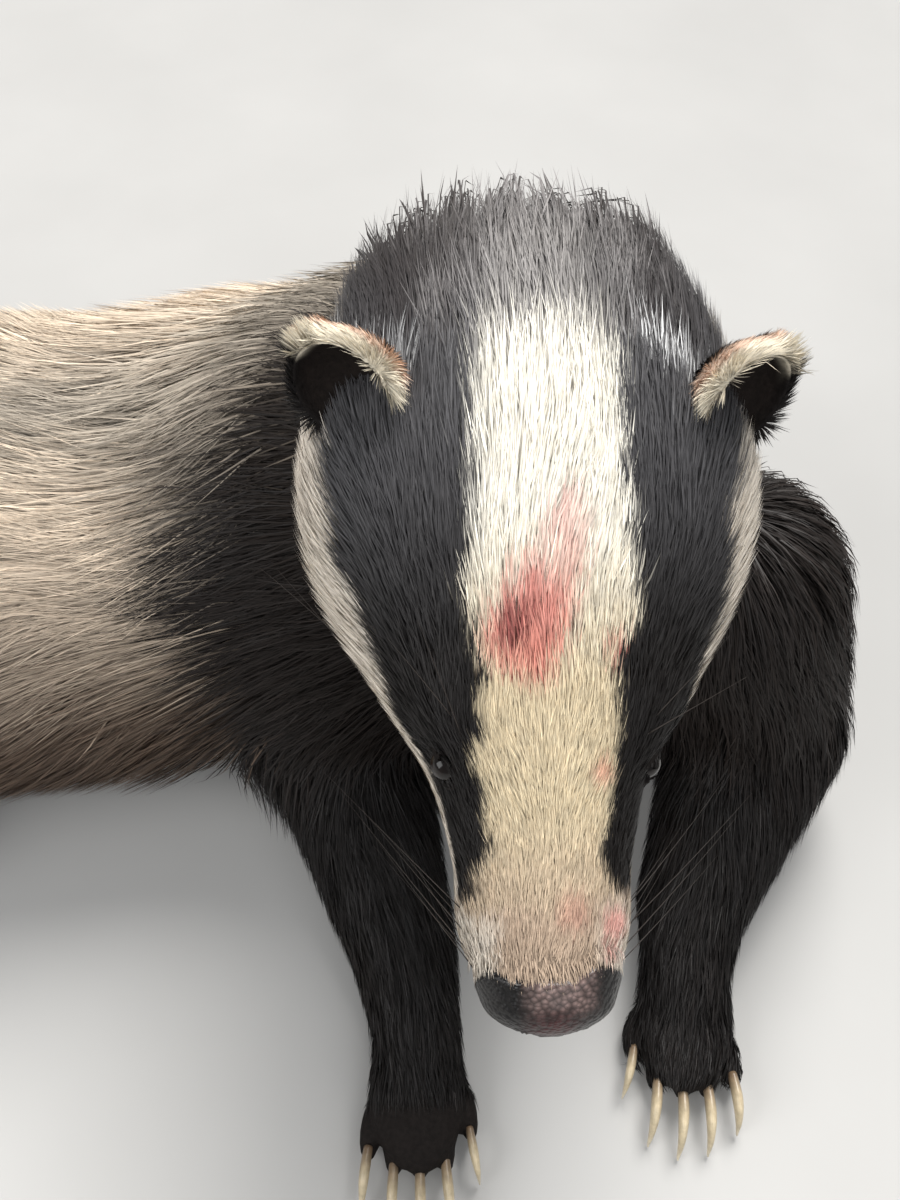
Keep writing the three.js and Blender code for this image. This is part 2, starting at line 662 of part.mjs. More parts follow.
// A draw from 0 to 1 that depends only on its number
const draw = (n) => {
  const x = Math.sin((n + LOCK_SEED) * 12.9898) * 43758.5453;
  return x - Math.floor(x);
};

// The way the coat lies at a point: back from the head, down the neck, then along to the tail
function lie(p) {
  const onNeck = 1 - smooth((Math.hypot(...add(p, [20, 200, 240], -1)) - 60) / 120);
  const onTail = smooth((-440 - p[0]) / 40);
  const side = Math.sign(p[1] - 265) * smooth(Math.abs(p[1] - 265) / 90);
  const trunk = [-1, 0.12 * side, -0.32];
  const way = [0, 1, 2].map((i) => {
    const body = onNeck * [-0.25, 0.68, -0.68][i] + (1 - onNeck) * trunk[i];
    return onTail * [-0.9, -0.15, -0.35][i] + (1 - onTail) * body;
  });
  const n = unit(gradient(bodyField, p));
  return unit(add(way, n, -dot(way, n)));
}

// One lock from a root point, or nothing where it would meet a barred region or the floor. It
// follows the flesh, and runs straight on past the end of the tail. A grown one makes room for it.
function lock(root, number, size, barred, grow) {
  const long = LOCK.long * size * (0.62 + 0.38 * coatReach(root)) * (0.9 + 0.2 * draw(number));
  const reach = LOCK.reach * size * (0.25 + 0.75 * coatReach(root));
  const wide = LOCK.wide * size * (0.92 + 0.16 * draw(number + 0.3));
  const bend = 0.5 * (draw(number + 0.6) - 0.5);
  const [vertices, outward] = [[], []];
  let [p, way, normal, travelled] = [root, lie(root), unit(gradient(bodyField, root)), 0];
  for (const [i, t] of LOCK_RINGS.entries()) {
    while (travelled < t * long - 1e-6) {
      const stride = Math.min(12, t * long - travelled);
      if (p[0] > TAIL_FREE_X) {
        normal = unit(gradient(bodyField, p));
        way = unit(add(lie(p), cross(normal, lie(p)), bend * (travelled / long)));
      }
      p = add(p, way, stride);
      if (p[0] > TAIL_FREE_X) p = settle(bodyField, p);
      travelled += stride;
    }
    if (p[2] < 6 || barred.some((name) => inRegion(name, p, i > 1 ? 1 : 4))) return null;
    const onFlesh = p[0] > TAIL_FREE_X;
    if (onFlesh) normal = unit(gradient(bodyField, p));
    const side = unit(cross(normal, way));
    const rise = -LOCK.sink * (1 - t) ** 2 + reach * LOCK_HEIGHTS[i];
    const half = (wide / 2) * LOCK_WIDTHS[i];
    const thick = LOCK.thick * size * (1 - 0.45 * t);
    const place = (across, level) => {
      const q = add(p, side, across * half);
      const drop = onFlesh ? Math.max(-0.5 * half, Math.min(bodyField(q), 0.5 * half)) : 0;
      return add(q, normal, level - drop);
    };
    const corners = i === LOCK_RINGS.length - 1 ? [[0, 0]] : SECTION;
    for (const [across, up] of corners) {
      vertices.push(place(across, rise + (up * thick) / 2));
      outward.push(across || up ? add(side.map((x) => x * across), normal, up) : way.map((x) => 4 * x));
    }
  }
  const faces = [[0, 2, 1], [0, 3, 2]];
  const rings = LOCK_RINGS.length - 1;
  for (let k = 0; k < 4; k++) {
    const next = (k + 1) % 4;
    for (let i = 0; i + 1 < rings; i++) {
      const [a, b] = [4 * i + k, 4 * i + next];
      const [toB, toC, toD] = [b, b + 4, a + 4].map((n) => add(vertices[n], vertices[a], -1));
      const bulges = dot(cross(toB, toC), toD) < 0;
      if (bulges) faces.push([a, b, b + 4], [a, b + 4, a + 4]);
      else faces.push([a, b, a + 4], [b, b + 4, a + 4]);
    }
    faces.push([4 * rings - 4 + k, 4 * rings - 4 + next, 4 * rings]);
  }
  return toSolid(vertices.map((v, n) => add(v, outward[n], grow)), faces);
}

function inRegion(name, p, grow) {
  const { centre, axes, half, round } = REGIONS[name];
  const q = axes.map((a, i) => Math.abs(dot(add(p, centre, -1), a)) / (half[i] + grow));
  return round ? Math.hypot(...q) < 1 : Math.max(...q) < 1;
}

// Surface point on a ray from a centre inside the flesh
function surfaceFrom(centre, way) {
  let [inside, outside] = [10, 170];
  for (let step = 0; step < 24; step++) {
    const middle = (inside + outside) / 2;
    if (bodyField(add(centre, way, middle)) < 0) inside = middle;
    else outside = middle;
  }
  return add(centre, way, inside);
}

// Rows of locks round an axis: each row by its centre, its forward way, the angle it spans to each
// side of the top, and how many locks it has
function lockRows(rows, size, barred, grow = 0) {
  const locks = [];
  for (const [r, { centre, forward, span, count }] of rows.entries()) {
    const side = unit(cross(forward, [0, 0, 1]));
    const top = unit(cross(side, forward));
    const stagger = r % 2 ? 0.5 : 0;
    for (let k = 0; k < count; k++) {
      const number = 100 * rows.length + 31 * r + k;
      const part = (k + stagger + 0.25 * (draw(number) - 0.5)) / (count - 0.5);
      const angle = radians(span * (2 * part - 1));
      const way = add(side.map((x) => x * Math.sin(angle)), top, Math.cos(angle));
      const root = surfaceFrom(centre, way);
      const made = lock(root, number, size, barred, grow);
      if (made) locks.push(made);
    }
  }
  return locks;
}

const ROW_STEP = 52;
const trunkRows = Array.from({ length: 10 }, (_, r) => {
  const x = 92 - r * ROW_STEP;
  const [cy, cz] = trunkAt(Math.max(x, -430));
  return { centre: [x, cy, cz], forward: [1, 0, 0], span: 112, count: 10 };
});
const neckRows = [
  { centre: [19, 196, 236], forward: unit([0, -0.65, 0.75]), span: 120, count: 8 },
  { centre: [17, 216, 208], forward: unit([0, -0.7, 0.7]), span: 110, count: 8 },
];
const tailRows = [
  { centre: [-474, 245, 52], forward: [1, 0.2, 0.3], span: 150, count: 6 },
  { centre: [-508, 238, 44], forward: [1, 0.2, 0.3], span: 160, count: 5 },
  { centre: [-540, 231, 37], forward: [1, 0.2, 0.3], span: 160, count: 5 },
];
const LEG_NAMES = Object.keys(REGIONS).filter((name) => name.includes("leg") || name.includes("paw"));
const withLocks = (core, locks) => largest(locks.reduce((sum, one) => sum.add(one), core));

const NECK_LOCKS = [neckRows, 0.8, ["head", ...LEG_NAMES]];
solids.torso = withLocks(solids.torso, lockRows(trunkRows, 1, ["head", "neck", ...LEG_NAMES]));
solids.torso = solids.torso.subtract(floorBlock);
for (const name of LEG_NAMES) solids.torso = solids.torso.subtract(regionSolid(name, GAP));
for (const room of lockRows(...NECK_LOCKS, 3 * GAP)) solids.torso = solids.torso.subtract(room);
solids.neck = withLocks(solids.neck, lockRows(...NECK_LOCKS)).subtract(regionSolid("head", GAP));
solids.tail = withLocks(solids.tail, lockRows(tailRows, 0.86, LEG_NAMES)).subtract(floorBlock);

// Claws: curved, tapered and narrow, each rooted in the end of its toe and clear of the floor
const CLAW_PATH = [[-0.2, 0], [0.3, 0.13], [0.7, -0.03], [1, -0.42]];
const CLAW_TAPER = [0.9, 1, 0.66, 0.16];
const CLAW_THICK = 3.1;
for (const [name, paw] of Object.entries(PAWS)) {
  const frame = pawFrames[name];
  for (const toe of TOES) {
    const first = toe === 2;
    const long = paw.size.claw * (first ? 0.72 : 1 - 0.05 * toe * toe);
    const centre = toeCentre(paw, toe);
    const turn = toeTurn(paw, toe);
    const front = paw.size.toe[0] - 3.5;
    const place = ([t, rise]) => {
      const ahead = front + t * long;
      const z = Math.max(centre[2] + 2.6 + rise * long, 1.6);
      return frame.from([centre[0] + ahead * Math.cos(turn), centre[1] + ahead * Math.sin(turn), z]);
    };
    const points = CLAW_PATH.map(place);
    const radii = CLAW_TAPER.map((r) => r * CLAW_THICK * (first ? 0.85 : 1));
    const up = [0, 0, 1];
    solids[`claw_${name}_${3 - toe}`] = tube(points, radii, 5, up, 0.75);
    const socket = tube([place([-0.2 - GAP / long, 0]), ...points.slice(1, 3)], radii.slice(0, 3).map((r) => r + GAP), 5, up, 0.8);
    solids[name] = solids[name].subtract(socket);
  }
}

// Head, with the mouth line cut between it and the lower jaw, and the pad in front of its slanted cut
const JAW_FRONT_U = 15;
const MOUTH_LINE = 0.7; // width of the cut
const MOUTH_PLANE = [0.05, 0, 1]; // upwards from the mouth line, in the head frame
const mouthAt = [MOUTH_CORNER_U / 2, 0, -12.6];
const PAD_PLANE = [1, 0, -0.34];
const padCut = (grow) => slab(fromHead([NOSE_PAD_U, 0, 0]), turnHead(PAD_PLANE), grow);
const belowMouth = (grow) => slab(fromHead(mouthAt), turnHead(MOUTH_PLANE), grow);
const jawBox = inHead([JAW_FRONT_U, -60, -60], [MOUTH_CORNER_U, 60, 20]);
const jawBlock = (grow) => block(jawBox.centre, jawBox.axes, jawBox.half, grow).intersect(belowMouth(grow));
let head = headFlesh(HEAD_GRID).intersect(regionSolid("head"));
head = head.subtract(padCut(GAP)).subtract(jawBlock(MOUTH_LINE));
solids.lower_jaw = headFlesh(JAW_GRID).intersect(jawBlock(0));

// Bare nose pad with nostrils that open forwards and to the sides, and the groove below
const NOSTRIL = { at: [1.5, 6.4, 0.5], half: [5.5, 3.1, 3.4] };
let nose = headFlesh(NOSE_GRID).intersect(padCut(0));
for (const side of [-1, 1]) {
  const [u, v, w] = NOSTRIL.at;
  nose = nose.subtract(ball(fromHead([u, side * v, w]), HEAD_AXES, NOSTRIL.half, 10));
  nose = nose.subtract(ball(fromHead([u + 3, side * (v + 4.6), w - 1.5]), HEAD_AXES, [4.5, 4.5, 1.3], 10));
}
nose = nose.subtract(block(fromHead([0, 0, -8]), HEAD_AXES, [2.6, 0.6, 7]));
solids.nose = nose;

// Eyes between lids: the lids are a ball round the eye, opened by a slit along the eye's length
const LID_THICK = 1.6;
const EYE_SLIT = [5.6, 2.5, 8];
for (const [side, sign] of [["left", 1], ["right", -1]]) {
  const centre = fromHead([EYE_AT[0], sign * EYE_AT[1], EYE_AT[2]]);
  const look = unit(turnHead([EYE_LOOK[0], sign * EYE_LOOK[1], EYE_LOOK[2]]));
  const along = unit(add(turnHead([1, 0, 0.15]), look, -dot(turnHead([1, 0, 0.15]), look)));
  const axes = [along, cross(look, along), look];
  const around = (r, segments) => ball(centre, axes, [r, r, r], segments);
  const lids = around(EYE_RADIUS + GAP + LID_THICK, 10).subtract(ball(add(centre, look, 6), axes, EYE_SLIT, 8));
  head = head.add(lids).subtract(around(EYE_RADIUS + GAP, 10));
  solids[`eye_${side}`] = around(EYE_RADIUS, 10);
}

// Ears: round bowls that open outwards and forwards, each standing on the side of the crown
const EAR = { base: [141, 40, 27], half: [15, 14, 9.5], rise: 11, wall: 2.6, deep: 3.5 };
const headGrown = headFlesh(HEAD_GRID, GAP);
for (const [side, sign] of [["left", 1], ["right", -1]]) {
  const along = unit(turnHead([0.6, 0.64 * sign, 0.46]));
  const rough = turnHead([-0.62, 0.55 * sign, 0.5]);
  const open = unit(add(rough, along, -dot(rough, along)));
  const axes = [along, cross(open, along), open];
  const root = fromHead([EAR.base[0], sign * EAR.base[1], EAR.base[2]]);
  const centre = add(root, along, EAR.rise);
  const inner = add(centre, open, EAR.deep);
  const bowl = ball(centre, axes, EAR.half, 12);
  const cup = ball(inner, axes, EAR.half.map((h) => h - EAR.wall), 12);
  solids[`ear_${side}`] = bowl.subtract(cup).subtract(headGrown);
}
solids.head = head;

// Materials
const MATERIALS = {
  black_fur: [0x1b1918, 0.85],
  white_fur: [0xe9e3d3, 0.85],
  grey_coat: [0x8f877a, 0.9],
  nose_leather: [0x2c2423, 0.5],
  claw_horn: [0xb9a88c, 0.45],
  dark_eye: [0x0b0909, 0.1],
};
const slotOf = (name) => {
  if (name.startsWith("claw")) return "claw_horn";
  if (name.startsWith("eye")) return "dark_eye";
  if (name === "nose") return "nose_leather";
  if (["head", "lower_jaw"].includes(name)) return "white_fur";
  if (["torso", "tail"].includes(name)) return "grey_coat";
  return "black_fur";
};

const THINNED = 0.15; // how far thinning may move a surface
function toMesh(name, solid) {
  const { vertProperties, triVerts } = thin(largest(solid), THINNED).getMesh();
  const geometry = new THREE.BufferGeometry();
  geometry.setAttribute("position", new THREE.BufferAttribute(new Float32Array(vertProperties), 3));
  geometry.setIndex(new THREE.BufferAttribute(new Uint32Array(triVerts), 1));
  geometry.computeVertexNormals();
  const [color, roughness] = MATERIALS[slotOf(name)];
  const mesh = new THREE.Mesh(geometry, new THREE.MeshStandardMaterial({ color, roughness }));
  mesh.name = name;
  return mesh;
}

const badger = new THREE.Group();
badger.name = "european_badger";
for (const [name, solid] of Object.entries(solids)) badger.add(toMesh(name, solid));

// The origin is the middle of the bounding box on the floor
const box = new THREE.Box3().setFromObject(badger, true);
badger.position.set(-(box.min.x + box.max.x) / 2, -(box.min.y + box.max.y) / 2, -box.min.z);

export default badger;
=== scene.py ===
from concurrent.futures import ThreadPoolExecutor
from math import cos, pi, radians, sin, tau

import bpy
import numpy as np
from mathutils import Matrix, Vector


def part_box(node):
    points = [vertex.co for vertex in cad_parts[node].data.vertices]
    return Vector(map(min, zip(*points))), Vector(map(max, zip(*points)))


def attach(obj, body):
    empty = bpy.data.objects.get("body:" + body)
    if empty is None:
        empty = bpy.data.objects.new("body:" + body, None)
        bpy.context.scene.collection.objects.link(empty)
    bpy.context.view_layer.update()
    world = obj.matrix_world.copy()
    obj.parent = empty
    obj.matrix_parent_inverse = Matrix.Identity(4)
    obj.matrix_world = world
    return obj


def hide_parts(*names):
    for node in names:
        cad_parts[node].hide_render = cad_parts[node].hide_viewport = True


# A European badger lying on its belly with its head raised, life size. Shapes are worked out in
# millimetres in the frame of the design, where the camera stands at x = 0, y = 0, and are moved to
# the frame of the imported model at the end.
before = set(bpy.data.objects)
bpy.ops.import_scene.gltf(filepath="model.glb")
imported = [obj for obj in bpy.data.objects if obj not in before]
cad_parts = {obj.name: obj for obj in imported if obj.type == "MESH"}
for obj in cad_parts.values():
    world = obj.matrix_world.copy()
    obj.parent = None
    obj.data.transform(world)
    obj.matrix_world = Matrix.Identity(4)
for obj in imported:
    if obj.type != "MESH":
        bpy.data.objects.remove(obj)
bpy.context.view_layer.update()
rng = np.random.default_rng(11)
DENSITY = 1.0

# Driving dimensions of the body, the same as in the solids
NOSE_TIP = np.array([23, 28, 210.0])
HEAD_PITCH, HEAD_YAW, HEAD_ROLL = radians(16.7), radians(-1), radians(4.5)
HEAD_LENGTH = 205
HEAD_SQUARENESS = 2.25
NOSE_ROUND = 7
HEAD_BLEND = 16
PAW_BLEND = 7
TRUNK_SQUARENESS = 2.3
TRUNK_END_ROUND = 22
TRUNK_MIDDLE = (262, 92)  # y and z
SKIN_GAP, COAT_GAP = 0.3, 0.4  # least heights over the floor

# Along the head: u back from the nose tip, crown height, chin depth, half width
HEAD_STATIONS = [
    (0, 10, 9, 13), (10, 13.5, 13, 16.5), (22, 16, 19, 20.5), (40, 19.5, 23.5, 22.5),
    (60, 26, 28, 29), (80, 33.5, 33, 41), (100, 39.5, 37, 52.5), (120, 43.5, 40, 60),
    (140, 45.5, 43, 62.5), (160, 44, 46, 58.5), (182, 37, 47, 50), (205, 20, 44, 31),
]
# Small forms of the face: u, v, w, radius, and height, where minus is a hollow
FACE_FORMS = [
    (60, 29, 6, 9, -2.2), (68, 27, 20, 10, 2.0), (24, 17, -9, 11, 1.6),
    (78, 0, 36, 14, -1.5), (112, 54, -22, 24, 3.0),
]
# Along the trunk: x, centre y and z, half width, rise of the back, depth of the belly
TRUNK_STATIONS = [
    (-452, 252, 74, 22, 18, 22), (-430, 252, 76, 52, 38, 48), (-390, 254, 82, 84, 58, 78),
    (-320, 257, 88, 106, 73, 92), (-240, 261, 90, 111, 76, 95), (-160, 266, 90, 109, 76, 95),
    (-80, 271, 93, 105, 78, 97), (0, 274, 98, 99, 80, 102), (60, 268, 100, 90, 76, 102),
    (110, 262, 97, 64, 58, 72), (135, 260, 96, 30, 28, 36),
]
# Chains of round cones: blend with the body, then x, y, z and radius of each joint
CHAINS = {
    "neck": (32, [(20, 188, 244, 41), (15, 212, 214, 48), (20, 252, 168, 60), (35, 274, 114, 80)]),
    "nape": (40, [(8, 226, 204, 44), (-66, 276, 122, 66)]),
    "foreleg_right": (22, [(-44, 220, 102, 52), (-52, 182, 38, 39), (-20, 84, 21.5, 23.5), (-14, 52, 17, 19)]),
    "foreleg_left": (22, [(118, 218, 104, 54), (146, 184, 40, 41), (108, 104, 22, 24.5), (102, 74, 17, 19)]),
    "hindleg_right": (24, [(-350, 208, 84, 60), (-290, 158, 54, 43), (-326, 132, 22, 25)]),
    "hindleg_left": (24, [(-350, 308, 84, 60), (-290, 358, 54, 43), (-326, 384, 22, 25)]),
    "tail": (20, [(-432, 251, 68, 34), (-484, 243, 50, 24), (-536, 232, 38, 17), (-574, 222, 31, 9)]),
}
# Paws: pad half sizes, toes and claws, then where each stands, its heading and its inner side
FORE_PAW = dict(reach=30, pad=(31, 21.5, 13.5), toe=(13.5, 6.6, 7.6), toe_at=50, fan=9.8, claw=23)
HIND_PAW = dict(reach=36, pad=(46, 18, 13), toe=(12, 6.2, 7.2), toe_at=74, fan=8.4, claw=15)
PAWS = {
    "forepaw_right": (FORE_PAW, (-15, 60), -87, 1),
    "forepaw_left": (FORE_PAW, (105, 88), -98, -1),
    "hindpaw_right": (HIND_PAW, (-340, 126), -8, 1),
    "hindpaw_left": (HIND_PAW, (-340, 390), 8, -1),
}
TOES = (-2, -1, 0, 1, 2)
TOE_TURN = 4.5  # degrees from one toe to the next

# Head frame: u back, v to the animal's left, w to the crown
level = cos(HEAD_PITCH)
BACK = np.array([sin(HEAD_YAW) * level, cos(HEAD_YAW) * level, sin(HEAD_PITCH)])
level_left = np.array([cos(HEAD_YAW), -sin(HEAD_YAW), 0])
level_crown = np.cross(level_left, BACK)
LEFT = level_left * cos(HEAD_ROLL) - level_crown * sin(HEAD_ROLL)
CROWN = level_crown * cos(HEAD_ROLL) + level_left * sin(HEAD_ROLL)
HEAD_AXES = np.array([BACK, LEFT, CROWN])


def to_head(p):
    return (p - NOSE_TIP) @ HEAD_AXES.T


def turn_head(d):
    return np.asarray(d, float) @ HEAD_AXES


def from_head(q):
    return NOSE_TIP + turn_head(q)


def length(a):
    return np.sqrt(np.einsum("...i,...i->...", a, a))


def unit(a):
    return a / np.maximum(length(a), 1e-9)[..., None]


def smooth(x, width=1):
    """From 0 at x = 0 to 1 at the width."""
    t = np.clip(x / width, 0, 1)
    return t * t * (3 - 2 * t)


def mix(a, b, share):
    return a + (b - a) * share


def fade(a, b, share):
    """Rows of a mixed with rows of b, by one share a row."""
    return mix(a, b, share[:, None])


def stations(rows):
    """A smooth curve through rows of stations, as a function of their first column."""
    rows = np.array(rows, float)
    knots, values = rows[:, 0], rows[:, 1:]
    n = np.arange(len(rows))
    a, b = np.maximum(n - 1, 0), np.minimum(n + 1, len(rows) - 1)
    slopes = (values[b] - values[a]) / (knots[b] - knots[a])[:, None]

    def at(t):
        i = np.clip(np.searchsorted(knots, t) - 1, 0, len(knots) - 2)
        span = (knots[i + 1] - knots[i])[:, None]
        x = np.clip((t[:, None] - knots[i][:, None]) / span, 0, 1)
        m, n = slopes[i] * span, slopes[i + 1] * span
        p, q = values[i], values[i + 1]
        return (p + x * (m + x * (3 * (q - p) - 2 * m - n + x * (m + n - 2 * (q - p))))).T

    return at


def blend(a, b, k):
    """Smooth union of two distances."""
    h = np.maximum(k - np.abs(a - b), 0) / k
    return np.minimum(a, b) - h * h * k / 4


def round_cone(p, a, b):
    a, b = np.array(a, float), np.array(b, float)
    axis = b[:3] - a[:3]
    d = p - a[:3]
    t = np.clip(d @ axis / (axis @ axis), 0, 1)
    return length(d - t[:, None] * axis) - (a[3] + t * (b[3] - a[3]))


def chain_field(p, balls):
    return np.min([round_cone(p, a, b) for a, b in zip(balls, balls[1:])], 0)


def ellipsoid_field(p, half):
    half = np.array(half, float)
    k = length(p / half)
    g = length(p / half**2)
    return k * (k - 1) / np.maximum(g, 1e-6)


def near_only(p, centre, radius, exact):
    """A distance that is worked out exactly only near its form, which the ball holds."""
    f = length(p - centre) - radius
    near = f < 30
    f[near] = exact(p[near])
    return f


head_at = stations(HEAD_STATIONS)
trunk_at = stations(TRUNK_STATIONS)


def head_form(p):
    u, v, w = to_head(p).T
    crown, chin, half = head_at(u)
    into = np.clip(u / NOSE_ROUND, 0, 1)
    cap = np.maximum(np.sqrt(1 - (1 - into) ** 2), 0.05)
    high = np.where(w > 0, crown, chin) * cap
    wide = half * cap
    n = HEAD_SQUARENESS
    rho = (np.abs(v / wide) ** n + np.abs(w / high) ** n) ** (1 / n)
    f = (rho - 1) * np.minimum(wide, high)
    f = np.maximum(f, np.maximum(-u, u - HEAD_LENGTH))
    for fu, fv, fw, radius, height in FACE_FORMS:
        away = (u - fu) ** 2 + (np.abs(v) - fv) ** 2 + (w - fw) ** 2
        f = f - height * np.exp(-away / radius**2)
    return f


def head_field(p):
    return near_only(p, from_head([108, 0, 0]), 118, head_form)


def trunk_field(p):
    x, y, z = p.T
    cy, cz, wide, rise, depth = trunk_at(x)
    high = np.where(z > cz, rise, depth)
    n = TRUNK_SQUARENESS
    rho = (np.abs((y - cy) / wide) ** n + np.abs((z - cz) / high) ** n) ** (1 / n)
    side = (rho - 1) * np.minimum(wide, high)
    end = np.maximum(TRUNK_STATIONS[0][0] - x, x - TRUNK_STATIONS[-1][0])
    return -blend(-side, -end, TRUNK_END_ROUND)


def paw_axes(paw):
    """Where a paw's wrist or heel stands, and its forward, left and upward axes."""
    _, at, heading, _ = paw
    forward = np.array([cos(radians(heading)), sin(radians(heading)), 0])
    return np.array([*at, 0.0]), np.array([forward, [-forward[1], forward[0], 0], [0, 0, 1]])


def toe_centre(paw, toe):
    size, _, _, inner = paw
    back = 1.9 * toe * toe + (5 if toe == 2 else 0)
    return np.array([size["toe_at"] - back, inner * toe * size["fan"], size["toe"][2] - 0.4])


def turned(d, angle):
    x = d[:, 0] * cos(angle) + d[:, 1] * sin(angle)
    y = d[:, 1] * cos(angle) - d[:, 0] * sin(angle)
    return np.stack([x, y, d[:, 2]], 1)


def paw_form(p, paw):
    size, _, _, inner = paw
    at, axes = paw_axes(paw)
    q = (p - at) @ axes.T
    f = ellipsoid_field(q - [size["reach"], 0, size["pad"][2] - 1], size["pad"])
    for toe in TOES:
        d = turned(q - toe_centre(paw, toe), radians(inner * toe * TOE_TURN))
        f = blend(f, ellipsoid_field(d, size["toe"]), 3.5)
    return f


def paw_field(p, paw):
    at, axes = paw_axes(paw)
    middle = at + axes[0] * (paw[0]["toe_at"] / 2 + 6)
    return near_only(p, middle, paw[0]["toe_at"] / 2 + 24, lambda q: paw_form(q, paw))


def body_field(p):
    """The whole body as in the solids: negative inside."""
    f = trunk_field(p)
    for k, balls in CHAINS.values():
        f = blend(f, chain_field(p, balls), k)
    f = blend(f, head_field(p), HEAD_BLEND)
    for paw in PAWS.values():
        f = blend(f, paw_field(p, paw), PAW_BLEND)
    return f


def gradient(field, p, step=0.4):
    here = field(p)
    return here, np.stack([field(p + step * axis) - here for axis in np.eye(3)], 1) / step


def in_threads(function, p):
    """The same as function(p), worked out in pieces at the same time."""
    pieces = np.array_split(p, max(1, len(p) // 60000))
    with ThreadPoolExecutor(4) as pool:
        return np.concatenate(list(pool.map(function, pieces)))


def lattice(function, step):
    """A function's values on a regular grid round the body, read smoothly between its points."""
    low, high = np.array([(-640.0, -50, -20), (235, 425, 345)])
    counts = ((high - low) / step).astype(int) + 2
    axes = [a + step * np.arange(n) for a, n in zip(low, counts)]
    points = np.stack(np.meshgrid(*axes, indexing="ij"), -1).reshape(-1, 3)
    values = in_threads(function, points).reshape(*counts, -1)

    def read(p):
        at = np.clip((p - low) / step, 0, counts - 1.001)
        cell = at.astype(int)
        t = at - cell
        out = 0
        for corner in np.ndindex(2, 2, 2):
            weight = np.where(corner, t, 1 - t).prod(1)[:, None]
            out = out + weight * values[tuple((cell + corner).T)]
        return out

    return read


# What grows where. The hair over the top of each leg also sweeps back or down along the body.
LEG_SWEEP = {
    "foreleg_right": (-1.4, 0.9, -0.2),
    "foreleg_left": (0.2, 0.3, -1.0),
    "hindleg_right": (-1.0, 0, 0),
    "hindleg_left": (-1.0, 0, 0),
}


def along_chain(p, balls):
    """The way along a chain of balls, smooth from one length to the next."""
    balls = np.array(balls, float)[:, :3]
    way = np.zeros_like(p)
    for a, b in zip(balls, balls[1:]):
        near = np.linalg.norm(p - (a + b) / 2, axis=1) / np.linalg.norm(b - a)
        way += np.exp(-((1.2 * near) ** 2))[:, None] * unit(b - a) + 1e-6 * unit(b - a)
    return unit(way)


def parts(p):
    """For each part: distance, way of the hair, hair length, and how far it stands off."""
    x, y, z = p.T
    u, v, w = to_head(p).T
    cheek = smooth(np.abs(v) - 12, 40) * smooth(u - 40, 60)
    face_way = unit(turn_head([1, 0, 0]) + (cheek * 0.35)[:, None] * turn_head([0, 0, -1]))
    face_long = np.interp(u, [0, 14, 40, 70, 100, 130, 160, 200], [2.6, 4.2, 5.5, 8, 11, 15, 22, 30])
    face_long = face_long * (1 + 0.7 * cheek * smooth(20 - w, 30))
    ruffled = smooth(u - 142, 34) * smooth(w + 10, 30)
    yield head_field(p), face_way, face_long, 0.16 + 0.3 * ruffled

    neck = CHAINS["neck"][1]
    dorsal = smooth(y - 200 - 0.5 * (244 - z), 40)
    down = unit(along_chain(p, neck) + dorsal[:, None] * np.array([-0.8, 0.5, 0.35]))
    yield chain_field(p, neck), down, 40, 0.3

    off_middle = y - TRUNK_MIDDLE[0]
    side = np.sign(off_middle) * smooth(np.abs(off_middle), 60)
    fall = smooth(150 - z, 120)
    trunk_way = np.stack([-np.ones_like(u), (0.15 + 0.35 * fall) * side, -0.15 - 0.4 * fall], 1)
    trunk = np.minimum(trunk_field(p), chain_field(p, CHAINS["nape"][1]))
    yield trunk, unit(trunk_way), 56, 0.25 + 0.33 * smooth(105 - z, 60)

    for name, sweep in LEG_SWEEP.items():
        balls = CHAINS[name][1]
        low = smooth(70 - z, 50)
        high = smooth(z - 62, 50)[:, None]
        way = unit(along_chain(p, balls) + high * np.array(sweep))
        yield chain_field(p, balls), way, 34 - 18 * low, 0.2

    for paw in PAWS.values():
        _, axes = paw_axes(paw)
        yield paw_field(p, paw), unit(axes[0] - 0.15 * axes[2]), 9, 0.12

    balls = CHAINS["tail"][1]
    tail_long = 66 - 22 * smooth(-540 - x, 40)
    yield chain_field(p, balls[1:]), along_chain(p, balls), tail_long, 0.28


def coat_values(p):
    """Way, length and stand of the hair at points of the surface, side by side."""
    total = 1e-12
    way, long, stand = np.zeros_like(p), 0, 0
    for distance, part_way, part_long, part_stand in parts(p):
        weight = np.exp(-np.clip(distance, -30, 200) / 8)
        total = total + weight
        way += weight[:, None] * part_way
        long = long + weight * part_long
        stand = stand + weight * part_stand
    return np.column_stack([unit(way), long / total, stand / total])


coat_lattice = lattice(coat_values, 8)
body_lattice = lattice(body_field, 4)


def coat_depth(p):
    """How far the skin lies inside the solids' flesh."""
    return np.clip(0.9 + 0.13 * coat_lattice(p)[:, 3], 1.2, 8)


# Eyes and lids, mouth line, nose pad and ears, in the head frame
EYE_AT = np.array([61, 24.3, 11.5])
EYE_RADIUS = 4.5
EYE_SUNK = 1.7
EYE_LOOK = np.array([-0.42, 0.8, 0.42])
LID_THICK = 1.0
EYE_SLIT = (3.5, 1.3, 8)
MOUTH_CORNER_U = 60
PAD_PLANE = unit(np.array([1, 0, -0.34]))
PAD_AT = np.array([12.5, 0, 0])
PAD_OVERHANG = 3.6
NOSTRIL_AT = np.array([1.5, 6.4, 0.5])
NOSTRIL = (5.5, 3.1, 3.4)
SIDE_SLIT = (4.5, 4.5, 1.3)
EAR_AT = np.array([141, 40, 27.0])
EAR_HALF = np.array([15, 14, 9.5])
EAR_RISE = 11
EAR_WALL = 2.2
EAR_DEEP = 3.5


